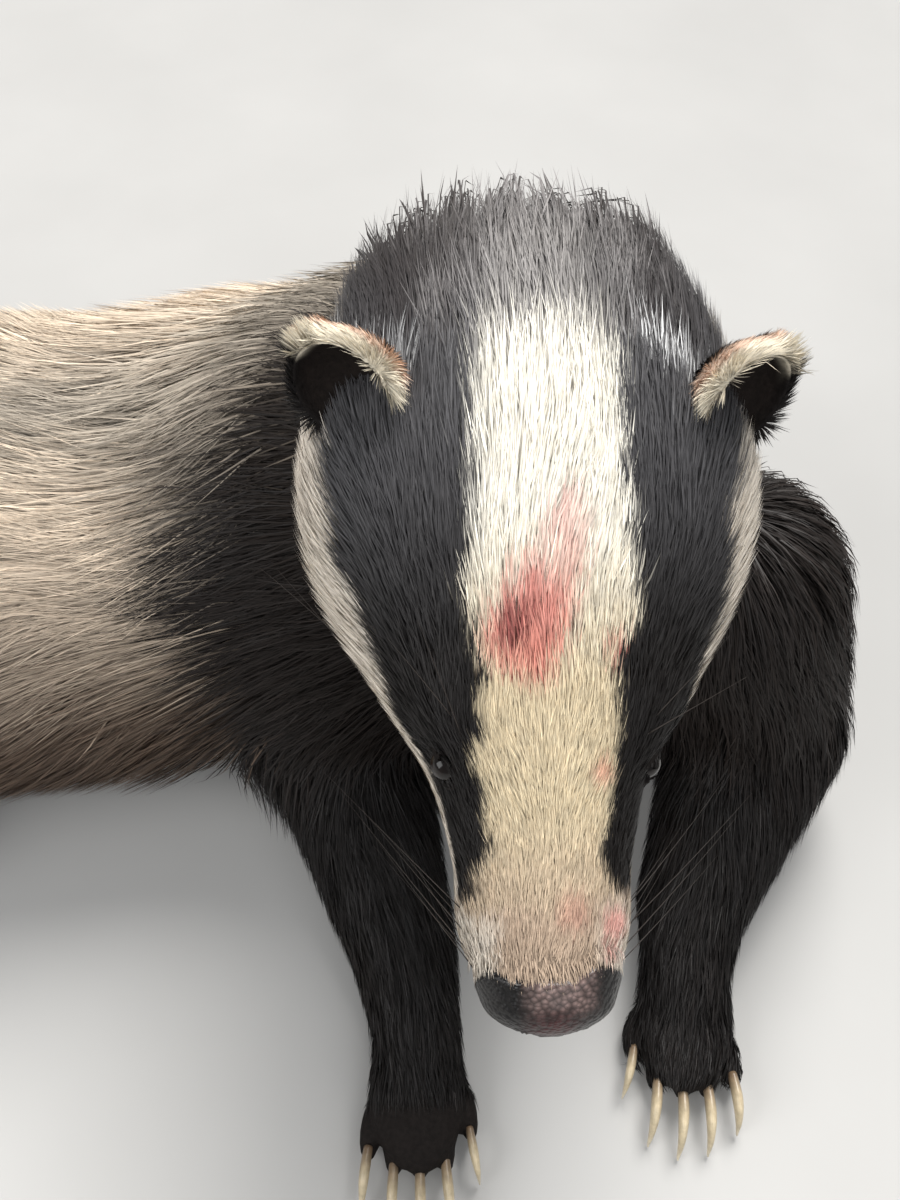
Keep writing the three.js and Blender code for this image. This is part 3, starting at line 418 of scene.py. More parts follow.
def past_pad(p):
    """How far points lie behind the edge of the nose pad, which the fur overhangs in the middle."""
    q = to_head(p)
    overhang = PAD_OVERHANG * smooth(13 - np.abs(q[:, 1] + 2), 8) * smooth(q[:, 2], 8)
    return (q - PAD_AT) @ PAD_PLANE + overhang


def eye_frame(sign):
    """Centre and axes of an eye: along the slit, across it, and outwards."""
    look = unit(turn_head(EYE_LOOK * [1, sign, 1]))
    along = turn_head([1, 0, 0.15])
    along = unit(along - look * (along @ look))
    return from_head(EYE_AT * [1, sign, 1]), np.array([along, np.cross(look, along), look])


def ear_frame(sign):
    """Centre and axes of an ear: up its length, across it, and out of its cup."""
    along = unit(turn_head([0.6, 0.64 * sign, 0.46]))
    out = turn_head([-0.62, 0.55 * sign, 0.5])
    out = unit(out - along * (along @ out))
    root = from_head(EAR_AT * [1, sign, 1])
    return root + along * EAR_RISE, np.array([along, np.cross(out, along), out])


def skin_field(p):
    f = body_field(p) + coat_depth(p)
    u, v, w = to_head(p).T
    mouth = w + 12.6 + 0.05 * (u - 30) - 2.5 * smooth(u - 40, 20)
    lips = smooth(u - 6, 8) * smooth(MOUTH_CORNER_U + 4 - u, 10)
    f = f + 2.2 * lips * np.exp(-((mouth / 1.3) ** 2))
    for sign in (1, -1):
        centre, axes = eye_frame(sign)
        q = (p - centre) @ axes.T + [0, 0, EYE_SUNK]
        near = length(q)
        f = blend(f, near - EYE_RADIUS - LID_THICK, 3.5)
        f = -blend(-f, ellipsoid_field(q - [0, 0, 6], EYE_SLIT), 0.8)
        f = np.maximum(f, EYE_RADIUS + 0.15 - near)
    return f


# Meshes from fields
def surface_net(field, grid, coarse=4):
    """A closed mesh of a field's zero by surface nets, evaluated only near the surface."""
    picks = [np.unique(np.append(np.arange(0, len(a), coarse), len(a) - 1)) for a in grid]
    rough_at = np.stack(np.meshgrid(*[a[i] for a, i in zip(grid, picks)], indexing="ij"), -1)
    rough = in_threads(field, rough_at.reshape(-1, 3)).reshape(rough_at.shape[:3])
    nearest = [np.abs(np.arange(len(a))[:, None] - i).argmin(1) for a, i in zip(grid, picks)]
    values = rough[np.ix_(*nearest)]
    steps = np.meshgrid(*map(np.gradient, grid), indexing="ij")
    near = np.argwhere(np.abs(values) < 1.3 * coarse * np.maximum.reduce(steps))

    def places(index):
        return np.stack([axis[i] for axis, i in zip(grid, index.T)], 1)

    values[tuple(near.T)] = in_threads(field, places(near))
    for n in range(3):
        ends = np.moveaxis(values, n, 0)
        ends[[0, -1]] = np.maximum(ends[[0, -1]], 0.5)

    inside = values < 0
    count = np.lib.stride_tricks.sliding_window_view(inside, (2, 2, 2)).sum((3, 4, 5))
    cells = np.argwhere((count > 0) & (count < 8))
    ids = np.full(count.shape, -1)
    ids[tuple(cells.T)] = np.arange(len(cells))
    total, crossings = np.zeros((len(cells), 3)), np.zeros(len(cells))
    for corner in np.ndindex(2, 2, 2):
        for axis in np.eye(3, dtype=int):
            if np.dot(corner, axis):
                continue
            a, b = cells + corner, cells + corner + axis
            fa, fb = values[tuple(a.T)], values[tuple(b.T)]
            hit = (fa < 0) != (fb < 0)
            t = fa[hit] / (fa[hit] - fb[hit])
            pa, pb = places(a[hit]), places(b[hit])
            total[hit] += pa + (pb - pa) * t[:, None]
            crossings[hit] += 1
    points = total / crossings[:, None]

    quads = []
    for n in range(3):
        low, high = (np.take(inside, np.arange(count.shape[n]) + i, n) for i in (0, 1))
        ring = [np.roll([0, j, k], n) for j, k in ((-1, -1), (0, -1), (0, 0), (-1, 0))]
        for turn, crossed in ((1, low & ~high), (-1, high & ~low)):
            edges = np.argwhere(crossed)
            quads.append(np.stack([ids[tuple((edges + d).T)] for d in ring], 1)[:, ::turn])
    quads = np.concatenate(quads)
    across = [points[quads[:, i]] - points[quads[:, i + 2]] for i in (0, 1)]
    first, second = (np.linalg.norm(line, axis=1) for line in across)
    quads = np.where((second < first)[:, None], np.roll(quads, -1, 1), quads)
    return points, np.concatenate([quads[:, [0, 1, 2]], quads[:, [0, 2, 3]]])


def refine(points, faces, spacing):
    """Splits the edges that are longer than the spacing wanted at their middle."""
    edges = np.sort(faces[:, [[0, 1], [1, 2], [2, 0]]].reshape(-1, 2), 1)
    keys, back = np.unique(edges[:, 0] * len(points) + edges[:, 1], return_inverse=True)
    ends = np.stack([keys // len(points), keys % len(points)], 1)
    middles = points[ends].mean(1)
    long = np.linalg.norm(points[ends[:, 0]] - points[ends[:, 1]], axis=1) > spacing(middles)
    number = np.full(len(keys), -1)
    number[long] = len(points) + np.arange(long.sum())
    mids = number[back].reshape(-1, 3)
    # Turn each face so that its split edges come first
    score = (mids >= 0) @ np.array([[4, 1, 2], [2, 4, 1], [1, 2, 4]])
    turn = (score.argmax(1)[:, None] + np.arange(3)) % 3
    a, b, c = np.take_along_axis(faces, turn, 1).T
    mids = np.take_along_axis(mids, turn, 1)
    ab, bc, ca = mids.T
    splits = (mids >= 0).sum(1)
    patterns = [
        [(a, b, c)],
        [(a, ab, c), (ab, b, c)],
        [(ab, b, bc), (a, ab, bc), (a, bc, c)],
        [(a, ab, ca), (ab, b, bc), (ca, bc, c), (ab, bc, ca)],
    ]
    out = [np.stack(f, 1)[splits == n] for n, some in enumerate(patterns) for f in some]
    return np.concatenate([points, middles[long]]), np.concatenate(out)


def relax(points, faces, field, rounds=2):
    """Evens the mesh out along its surface and lays it on the field's zero."""
    edges = faces[:, [[0, 1], [1, 2], [2, 0]]].reshape(-1, 2)
    for _ in range(rounds):
        a, b = edges.T
        total = np.stack([np.bincount(a, points[b, n], len(points)) for n in range(3)], 1)
        count = np.bincount(a, minlength=len(points))[:, None]
        values = in_threads(lambda p: np.column_stack(gradient(field, p)), points)
        f, g = values[:, 0], values[:, 1:]
        normal = unit(g)
        move = total / np.maximum(count, 1) - points
        points = points + 0.5 * (move - normal * (move * normal).sum(1)[:, None])
        steep = np.maximum((g * g).sum(1), 0.1)
        points = points - g * np.clip(f / steep, -1.5, 1.5)[:, None]
    return points


def lines(start, *runs):
    """Grid lines from one value on, by runs of (end, spacing)."""
    out = [start]
    for end, spacing in runs:
        count = int(np.ceil((end - out[-1]) / spacing))
        out += list(np.linspace(out[-1], end, count + 1)[1:])
    return np.array(out)


# From the design's millimetres to the model's metres, by the middle of the left eye
MM = 1000
OFFSET = np.mean(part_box("eye_left"), 0) * MM - eye_frame(1)[0]


def to_model(p):
    return (np.asarray(p) + OFFSET) / MM


def add_object(name, data):
    added = bpy.data.objects.new(name, data)
    bpy.context.scene.collection.objects.link(added)
    return added


def make_mesh(name, points, faces, colours=None, normals=None, uvs=None):
    """A mesh object of triangles, or of mixed faces given as (corners, corners per face)."""
    corners, totals = faces if isinstance(faces, tuple) else (faces.ravel(), [3] * len(faces))
    mesh = bpy.data.meshes.new(name)
    mesh.vertices.add(len(points))
    mesh.loops.add(len(corners))
    mesh.polygons.add(len(totals))
    mesh.vertices.foreach_set("co", to_model(points).astype(np.float32).ravel())
    mesh.loops.foreach_set("vertex_index", corners.astype(np.int32))
    mesh.polygons.foreach_set("loop_start", (np.cumsum(totals) - totals).astype(np.int32))
    mesh.polygons.foreach_set("use_smooth", np.ones(len(totals), bool))
    if uvs is not None:
        layer = mesh.uv_layers.new(name="OFBake")
        layer.uv.foreach_set("vector", uvs[corners].astype(np.float32).ravel())
    if colours is not None:
        layer = mesh.color_attributes.new("coat", "FLOAT_COLOR", "POINT")
        rgba = np.concatenate([colours, np.ones((len(colours), 1))], 1)
        layer.data.foreach_set("color", rgba.astype(np.float32).ravel())
    mesh.update(calc_edges=True)
    mesh.validate()
    if normals is not None:
        mesh.normals_split_custom_set_from_vertices(normals.astype(np.float32))
    piece = add_object(name, mesh)
    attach(piece, "root")
    return piece


# Colours, as linear light from screen values
def screen(*rgb):
    c = np.array(rgb) / 255
    return np.where(c <= 0.04045, c / 12.92, ((c + 0.055) / 1.055) ** 2.4)


BLACK = screen(30, 27, 26)
BROWN_BLACK = screen(36, 30, 27)
WHITE = screen(246, 241, 228)
CREAM = screen(224, 207, 174)
MUZZLE_BEIGE = screen(182, 160, 139)
CHEEK_WHITE = screen(224, 214, 200)
# Brown of the lower flank, partly its own colour and partly painted shade
FLANK_BROWN_AND_SHADE = screen(112, 94, 80)
FLANK_TAN = screen(224, 206, 184)
FLANK_GREY = screen(168, 159, 146)
NAPE_FAWN = screen(132, 128, 127)
NAPE_DARK = screen(60, 56, 56)
# Painted sheen: the grey that the black of the head turns to towards the crown
STRIPE_PAINTED_SHEEN = screen(78, 77, 79)
TUFT_WHITE = screen(226, 226, 226)
STAIN_RED = screen(220, 106, 100)
STAIN_DARK = screen(112, 38, 42)
EAR_PINK = screen(226, 176, 152)

# Half width of the blaze, and the angles from the crown where the cheek stripe starts and ends
BLAZE = (
    [22, 28, 38, 63, 75, 90, 103, 120, 140, 157, 175, 200],
    [34, 15.5, 12.5, 15.2, 15, 18.8, 17.5, 16.6, 16, 12, 9, 8],
)
CHEEK_FROM = ([30, 45, 54, 61, 68, 76, 90, 100, 117, 175], [84, 86, 88, 85, 78, 71, 66, 64, 62, 66])
CHEEK_TO = ([30, 50, 70, 100, 130, 160], [120, 118, 112, 104, 97, 88])
CHEEK_ASKEW = 2.2
BLAZE_CENTRE = -1.5
# Grey band from the nape down the back of the neck: x, y, z and half width
MANE = [(24, 190, 298, 26), (8, 246, 238, 30), (-40, 268, 200, 34), (-150, 262, 160, 50)]
# Faint reddish flecks of the face: u, v, size, strength
STAIN_FLECKS = ((54, 11, 4, 0.4), (80, 15, 4.5, 0.4), (22, 15.5, 5, 0.5), (25, 5, 6, 0.2))
# White wisps behind the ears: u, v, strength
EAR_TUFTS = ((146, 28, 0.9), (148, -42, 0.6))


def waves(p, scale, seed):
    """Smooth noise, mostly from -1 to 1, with features about as large as the scale."""
    draw = np.random.default_rng(seed)
    total = 0
    for _ in range(6):
        way = unit(draw.normal(size=3)) * (0.7 + 0.6 * draw.random()) * tau / (2 * scale)
        total = total + np.sin(p @ way + tau * draw.random())
    return total / 3.2


def wave_ways(p, scale, seed):
    """Smooth noise in three directions."""
    return np.stack([waves(p, scale, seed + n) for n in range(3)], 1)


def edge(x, width):
    """From 0 to 1 over a soft edge at zero."""
    return smooth(x / width + 0.5)


def markings(p):
    """Colour of the coat at points of the surface."""
    x, y, z = p.T
    u, v, w = to_head(p).T
    v = v - BLAZE_CENTRE
    ragged = 1.2 * waves(p, 6, 3)
    angle = np.degrees(np.arctan2(np.abs(v), w)) + 2.0 * waves(p, 9, 4)
    soft = np.interp(u, [30, 90, 160, 190], [2.2, 3.0, 6, 16])

    # Body: grey on the back, cream to tan down the flank and darker brown low on it, partly painted shade,
    # black below and in front
    patchy = waves(p, 40, 5)
    # The flank is painted darker brown towards its lower side: partly its own colour, partly painted shade of
    # the light from above
    flank = fade(FLANK_BROWN_AND_SHADE, FLANK_TAN, smooth((z - 96) / 58 + 0.14 * patchy))
    from_top = np.degrees(np.arctan2(np.abs(y - TRUNK_MIDDLE[0]), z - TRUNK_MIDDLE[1]))
    band = 30 + 34 * smooth(-190 - x, 90)
    body = fade(flank, FLANK_GREY, 0.85 * smooth((band - from_top) / (0.85 * band) + 0.14 * patchy))
    belly = smooth((34 - z) / 28 + 0.2 * waves(p, 25, 6))
    body = fade(body, BROWN_BLACK, belly)
    far_side = 80 * smooth(y - 246, 70)
    front = smooth(x + 92 - far_side + 0.05 * (160 - z) + (8 + 0.1 * far_side) * waves(p, 22, 7), 24)
    mane = smooth(12 + 8 * waves(p, 18, 13) - chain_field(p, MANE), 30)
    body = fade(body, BROWN_BLACK, front * (1 - 0.75 * mane))
    for name in LEG_SWEEP:
        near = chain_field(p, CHAINS[name][1][1:])
        body = fade(body, BLACK, smooth(16 - near + 8 * waves(p, 20, 8), 20))
    for paw in PAWS.values():
        body = fade(body, BLACK, smooth(14 - paw_field(p, paw), 10))
    tail = smooth(-440 - x, 40)
    body = fade(body, mix(CREAM, WHITE, 0.4), 0.7 * tail)
    ruffled = smooth(58 - np.abs(v), 30) * smooth(w + 14, 30)
    nape = ruffled * smooth(u - 150, 26) * smooth(300 - u, 60)
    fawn = smooth((32 - np.abs(v)) / 28 + 0.4 * waves(p, 7, 14))
    nape_colour = fade(NAPE_DARK, NAPE_FAWN, fawn)
    body = fade(body, nape_colour, nape)

    # Head: white blaze and cheeks, black stripes through the eyes, black throat
    # The black of the head is painted lighter grey further back and higher up: a painted sheen of the light
    # from above
    head = fade(BLACK, STRIPE_PAINTED_SHEEN, smooth(u - 75, 55) * smooth(w - 4, 22))
    start = np.interp(u, *CHEEK_FROM) - CHEEK_ASKEW * np.sign(v)
    cheek = edge(angle - start, 1.1 * soft)
    cheek = cheek * edge(np.interp(u, *CHEEK_TO) - angle, 9) * smooth(166 - u + 6 * ragged, 20)
    head = fade(head, CHEEK_WHITE, cheek)
    blaze = edge(np.interp(u, *BLAZE) - np.abs(v) + ragged, soft) * (w > -4)
    fair = fade(WHITE, CREAM, smooth(112 - u, 44))
    fair = fade(fair, MUZZLE_BEIGE, 0.7 * smooth(50 - u, 24))
    head = fade(head, fair, blaze)
    head = fade(head, nape_colour, 0.95 * ruffled * smooth(u + 4 * ragged - 138, 18))
    muzzle = edge(26 + 2 * ragged - u, 5)
    lip_side = smooth(np.abs(v) - 9 + 2 * ragged, 8) * smooth(30 - u, 8)
    head = fade(head, fade(MUZZLE_BEIGE, WHITE, 0.6 * lip_side), muzzle)
    for tuft_u, tuft_v, strength in EAR_TUFTS:
        away = np.hypot((u - tuft_u) / 8, (v - tuft_v + 1.2 * (u - tuft_u)) / 6) + 0.25 * ragged
        tuft = smooth(1 - away, 0.5) * (w > 10)
        head = fade(head, TUFT_WHITE, strength * tuft)
    chin = smooth(-14 - w, 8) * smooth(40 - u, 14)
    head = fade(head, mix(CREAM, NAPE_FAWN, 0.6), chin)

    # A reddish stain in the fur of the forehead
    main = smooth(1.05 - np.hypot((v + 3.8) / 11.5, (u - 85) / 15) + 0.16 * waves(p, 8, 9), 0.6)
    upper = smooth(1 - np.hypot((v - 2) / 6.5, (u - 100) / 11) + 0.3 * waves(p, 5, 9), 0.7)
    stain = np.maximum(main, 0.55 * upper) * (w > 0) * blaze
    head = fade(head, STAIN_RED, 0.72 * stain)
    spot = smooth(1 - np.hypot(v + 8.6, 0.8 * (u - 86.5)) / 5.2 + 0.25 * ragged, 0.8) * (w > 0)
    head = fade(head, STAIN_DARK, 0.75 * spot * blaze)
    for su, sv, size, strength in STAIN_FLECKS:
        fleck = smooth(1 - np.hypot(v - sv, u - su) / size, 0.8) * (w > -2)
        head = fade(head, STAIN_RED, strength * fleck * (1 - (head.max(1) < 0.05)))

    head = fade(head, BROWN_BLACK, smooth(-0.4 - past_pad(p), 1.2))
    on_head = smooth(186 - u, 22) * smooth(9 - head_field(p), 8)
    return fade(body, head, on_head)


# Skin: one closed surface of the flesh, with the ears
SKIN_GRID = [
    lines(-608, (-70, 5.5), (118, 2.5), (220, 5.5)),
    lines(-34, (22, 4.0), (258, 2.5), (410, 5.5)),
    lines(-6, (44, 4.0), (150, 5.0), (318, 2.5)),
]


def skin_spacing(p):
    u, v, w = to_head(p).T
    fine = 2.4 + 3.2 * smooth(u - 90, 90)
    for sign in (1, -1):
        near = length(p - eye_frame(sign)[0])
        fine = np.minimum(fine, 0.9 + 1.6 * smooth(near - 9, 10))
    fine = np.minimum(fine, 1.3 + 2 * smooth(u - 14, 20) + 2 * smooth(np.abs(w + 12) - 4, 6))
    on_head = smooth(head_field(p) - 6, 8)
    return mix(fine, 6.5, on_head)


skin_points, skin_faces = surface_net(skin_field, SKIN_GRID)
for _ in range(2):
    skin_points, skin_faces = refine(skin_points, skin_faces, skin_spacing)
    skin_points = relax(skin_points, skin_faces, skin_field)
skin_points[:, 2] = np.maximum(skin_points[:, 2], SKIN_GAP)


def ear_field(q):
    bowl = ellipsoid_field(q, EAR_HALF)
    cup = ellipsoid_field(q - [0, 0, EAR_DEEP], EAR_HALF - EAR_WALL)
    return -blend(-bowl, cup, 1.6)


ear_grid = [lines(-h - 2, (h + 2, 0.8)) for h in EAR_HALF]
ear_points, ear_faces = surface_net(ear_field, ear_grid)
ear_points = relax(ear_points, ear_faces, ear_field)
shells = [(skin_points, skin_faces)]
for sign in (1, -1):
    centre, axes = ear_frame(sign)
    shells.append((centre + ear_points @ axes, ear_faces))


def bands(rings, sides, first=0):
    """Faces between rings of points that follow each other from a first point on."""
    faces = []
    for start in range(first, first + (rings - 1) * sides, sides):
        for k in range(sides):
            a, b = start + k, start + (k + 1) % sides
            faces += [[a, b, a + sides], [b, b + sides, a + sides]]
    return faces


def tube(path, radius, outline):
    """A closed tube round a path, its outline given as places across and above the path."""
    way = unit(np.gradient(path, axis=0))
    side = unit(np.cross([0, 0, 1.0], way))
    up = np.cross(way, side)
    ring = [path + radius[:, None] * (side * across + up * above) for across, above in outline]
    sides, last = len(outline), (len(path) - 1) * len(outline)
    faces = bands(len(path), sides)
    for k in range(1, sides - 1):
        faces += [[0, k + 1, k], [last, last + k, last + k + 1]]
    return np.stack(ring, 1).reshape(-1, 3), np.array(faces)


def joined(shells):
    points, faces, start = [], [], 0
    for some_points, some_faces in shells:
        points.append(some_points)
        faces.append(some_faces + start)
        start += len(some_points)
    return np.concatenate(points), np.concatenate(faces)


def ear_places(p, sign):
    """Height above the rim, way round it, and how far inside the cup points of an ear are."""
    centre, axes = ear_frame(sign)
    q = (p - centre) @ axes.T
    flat = q[:, :2] / EAR_HALF[:2] * [1, sign]
    ring = np.linalg.norm(flat, axis=1)
    inside = smooth(0.9 - ring, 0.14) * (length(q / EAR_HALF) < 0.93)
    return q[:, 2], flat, inside


def ear_colours(p, sign):
    """Pale along the rim on the crown's side, with bare pink behind it, and dark elsewhere."""
    height, flat, inside = ear_places(p, sign)
    crown_side = smooth(flat[:, 1] + 0.3 * flat[:, 0] + 0.25 + 0.12 * waves(p, 4, 12), 0.4)
    rim = edge(height + 4 + 0.8 * waves(p, 4, 13), 3) * (1 - inside)
    pale = fade(mix(WHITE, CREAM, 0.5), EAR_PINK, 0.55 * smooth(1.5 - height, 3))
    colour = fade(BLACK, pale, rim * crown_side)
    return fade(colour, BROWN_BLACK, 0.9 * inside)


skin_colours = mix(markings(skin_points), BROWN_BLACK, 0.35)
ear_shades = [ear_colours(points, sign) for (points, _), sign in zip(shells[1:], (1, -1))]
skin = make_mesh("skin", *joined(shells), np.concatenate([skin_colours, *ear_shades]))
FLESH = ["torso", "neck", "tail", "head", "lower_jaw", "ear_left", "ear_right", *PAWS, *LEG_SWEEP]
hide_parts(*FLESH)


# Materials
def material(name, roughness, specular, **constants):
    made = bpy.data.materials.new(name)
    made.use_nodes = True
    shader = made.node_tree.nodes["Principled BSDF"]
    constants |= {"Roughness": roughness, "Specular_IOR_Level": specular}
    for key, value in constants.items():
        shader.inputs[key.replace("_", " ")].default_value = value
    return made, shader, made.node_tree


def node(tree, kind, **inputs):
    """A node of a material, with its inputs linked or set."""
    made = tree.nodes.new("ShaderNode" + kind)
    for name, value in inputs.items():
        if isinstance(value, bpy.types.NodeSocket):
            tree.links.new(value, made.inputs[name])
        else:
            made.inputs[name].default_value = value
    return made


def noise(tree, scale, detail=4.0):
    """A noise texture in the object's own coordinates."""
    place = node(tree, "TexCoord").outputs["Object"]
    return node(tree, "TexNoise", Vector=place, Scale=scale, Detail=detail).outputs["Fac"]


def pebbles(tree, scale):
    """Distance from the middle of each of many small cells."""
    place = node(tree, "TexCoord").outputs["Object"]
    return node(tree, "TexVoronoi", Vector=place, Scale=scale).outputs["Distance"]


def ramp(tree, source, low_at, low, high_at, high):
    made = node(tree, "ValToRGB", Fac=source)
    for stop, at, colour in zip(made.color_ramp.elements, (low_at, high_at), (low, high)):
        stop.position, stop.color = at, (*colour, 1)
    return made.outputs["Color"]


def bump(tree, shader, source, strength, distance):
    made = node(tree, "Bump", Height=source, Strength=strength, Distance=distance)
    tree.links.new(made.outputs["Normal"], shader.inputs["Normal"])


def fur_material(name, roughness, specular, pattern, scale, low, high, **constants):
    """Hair or hide in the marking's colour, lighter and darker along a pattern."""
    made, shader, tree = material(name, roughness, specular, **constants)
    colour = node(tree, "Attribute")
    colour.attribute_name = "coat"
    multiply = node(tree, "Mix")
    multiply.data_type = "RGBA"
    multiply.blend_type = "MULTIPLY"
    multiply.inputs["Factor"].default_value = 1
    shade = ramp(tree, pattern(tree, scale), 0.25, [low] * 3, 0.75, [high] * 3)
    tree.links.new(colour.outputs["Color"], multiply.inputs["A"])
    tree.links.new(shade, multiply.inputs["B"])
    tree.links.new(multiply.outputs["Result"], shader.inputs["Base Color"])
    return made, shader, tree


hair, *_ = fur_material("hair", 0.5, 0.22, noise, 260, 0.8, 1.0)
under, shader, tree = fur_material("undercoat", 0.8, 0.1, noise, 500, 0.5, 1.0)
bump(tree, shader, noise(tree, 900, 2), 0.6, 0.0008)
skin.data.materials.append(under)


# Nose: the bare pebbled pad, its edge tucked under the fur, with nostrils and the groove below
def nose_field(p):
    q = to_head(p)
    past = past_pad(p)
    f = head_field(p) + 1.7 * smooth(past + 2.0, 3.5)
    f = np.maximum(f, past - 3)
    for sign in (1, -1):
        nostril = NOSTRIL_AT * [1, sign, 1]
        f = -blend(-f, ellipsoid_field(q - nostril, NOSTRIL), 1.2)
        slit = nostril + [3, sign * 4.6, -1.5]
        f = -blend(-f, ellipsoid_field(q - slit, SIDE_SLIT), 0.8)
    u, v, w = q.T
    groove = np.exp(-((v / 0.9) ** 2)) * smooth(-1 - w, 3)
    return f + 1.6 * groove


nose_grid = [lines(low, (high, 0.62)) for low, high in ((-2, 22), (-22, 22), (-20, 20))]
nose_points, nose_faces = surface_net(lambda q: nose_field(from_head(q)), nose_grid)
nose_points = relax(from_head(nose_points), nose_faces, nose_field, 1)
nose_faces = nose_faces[:, ::-1]  # the head frame mirrors them
u, v, w = to_head(nose_points).T
# The pad is painted lighter grey-brown over the middle of its top, a painted highlight of the light from
# above, and near black elsewhere
pad_painted_light = smooth(u - 3, 6) * smooth(10.5 - np.abs(v - 1), 6) * smooth(w, 8)
pad_colour = fade(screen(15, 12, 12), screen(112, 94, 90), pad_painted_light)
raw = smooth(1.1 - np.hypot((v + 0.5) / 8, (w - 8) / 7), 0.9) * smooth(9 - u, 4)
pad_colour = fade(pad_colour, screen(78, 30, 32), 0.7 * raw)
nose = make_mesh("nose_pad", nose_points, nose_faces, pad_colour)
PEBBLE_SCALE = 760
moist = {"Coat_Weight": 0.2, "Coat_Roughness": 0.12}
# The pad's colour darkens towards the edge of each pebble: painted shade in the crevices between them
leather, shader, tree = fur_material("nose_leather", 0.42, 0.2, pebbles, PEBBLE_SCALE, 1, 0.4, **moist)
bump(tree, shader, pebbles(tree, PEBBLE_SCALE), 1.0, -0.0008)
nose.data.materials.append(leather)
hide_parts("nose")


# Eyes: small and dark, with a slight bulge of the cornea
wet, shader, tree = material("eye", 0.16, 0.25, Coat_Weight=0.12, Coat_Roughness=0.05)
iris = ramp(tree, noise(tree, 300), 0.3, screen(9, 6, 5), 0.8, screen(26, 16, 12))
tree.links.new(iris, shader.inputs["Base Color"])
EYE_RINGS, EYE_SIDES = 23, 32
CORNEA_RISE, CORNEA_FROM = 0.4, 0.55
polar = np.linspace(0, pi, EYE_RINGS + 2)[1:-1]
turns = np.arange(EYE_SIDES) * tau / EYE_SIDES
ball = [[sin(a) * cos(b), sin(a) * sin(b), cos(a)] for a in polar for b in turns]
ball = np.array([[0, 0, 1], *ball, [0, 0, -1]]) * EYE_RADIUS
cornea = smooth(ball[:, 2] / EYE_RADIUS - CORNEA_FROM, 1 - CORNEA_FROM)
ball[:, 2] += CORNEA_RISE * cornea - EYE_SUNK
ball_faces = bands(EYE_RINGS, EYE_SIDES, 1)
last_ring = 1 + (EYE_RINGS - 1) * EYE_SIDES
for k in range(EYE_SIDES):
    after = (k + 1) % EYE_SIDES
    ball_faces += [[0, 1 + after, 1 + k], [len(ball) - 1, last_ring + k, last_ring + after]]
for side, sign in (("left", 1), ("right", -1)):
    centre, axes = eye_frame(sign)
    eye = make_mesh(f"eyeball_{side}", centre + ball @ axes, np.array(ball_faces)[:, ::-1])
    eye.data.materials.append(wet)
    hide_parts(f"eye_{side}")


# Claws: curved horn with a low ridge, dark at the root and pale towards the tip
CLAW_PATH = np.array([(-0.2, 0), (0.3, 0.13), (0.7, -0.03), (1, -0.42)])
CLAW_TAPER = (0.9, 1, 0.66, 0.16)
CLAW_THICK = 3.1
CLAW_RINGS, CLAW_SIDES = 22, 14


def smooth_path(points, count):
    """Points along a curve through a few points."""
    rows = np.column_stack([np.linspace(0, 1, len(points)), points])
    return stations(rows)(np.linspace(0, 1, count)).T


def claw_mesh(paw, toe):
    size, _, _, inner = paw
    at, axes = paw_axes(paw)
    first = toe == 2
    long = size["claw"] * (0.72 if first else 1 - 0.05 * toe * toe)
    centre, turn = toe_centre(paw, toe), radians(inner * toe * TOE_TURN)
    path = smooth_path(CLAW_PATH, CLAW_RINGS)
    taper = smooth_path(CLAW_TAPER, CLAW_RINGS)[:, 0]
    radius = np.maximum(taper, 0.08) * CLAW_THICK * (0.85 if first else 1)
    ahead = size["toe"][0] - 3.5 + path[:, 0] * long
    height = np.maximum(centre[2] + 2.6 + path[:, 1] * long, 1.6)
    spine = np.stack([centre[0] + ahead * cos(turn), centre[1] + ahead * sin(turn), height], 1)
    outline = []
    for a in np.arange(CLAW_SIDES) * tau / CLAW_SIDES:
        ridge = 1 + 0.12 * max(sin(a), 0) ** 3
        outline.append((cos(a) * (0.72 if sin(a) > 0 else 0.62), sin(a) * ridge))
    points, faces = tube(spine, radius, outline)
    points[:, 2] = np.maximum(points[:, 2], COAT_GAP)
    shade = np.repeat(np.linspace(0, 1, CLAW_RINGS), CLAW_SIDES)
    colour = fade(screen(112, 92, 72), screen(206, 190, 158), smooth(shade, 0.5))
    colour = fade(colour, screen(226, 214, 188), smooth(shade - 0.7, 0.3))
    return at + points @ axes, faces, colour


horn, shader, tree = fur_material("horn", 0.38, 0.5, noise, 420, 0.65, 1.0)
bump(tree, shader, noise(tree, 500, 3), 0.3, 0.0004)
for name, paw in PAWS.items():
    *shapes, colours = zip(*[claw_mesh(paw, toe) for toe in TOES])
    claws = make_mesh(f"claws_{name}", *joined(zip(*shapes)), np.concatenate(colours))
    claws.data.materials.append(horn)
    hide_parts(*[f"claw_{name}_{3 - toe}" for toe in TOES])


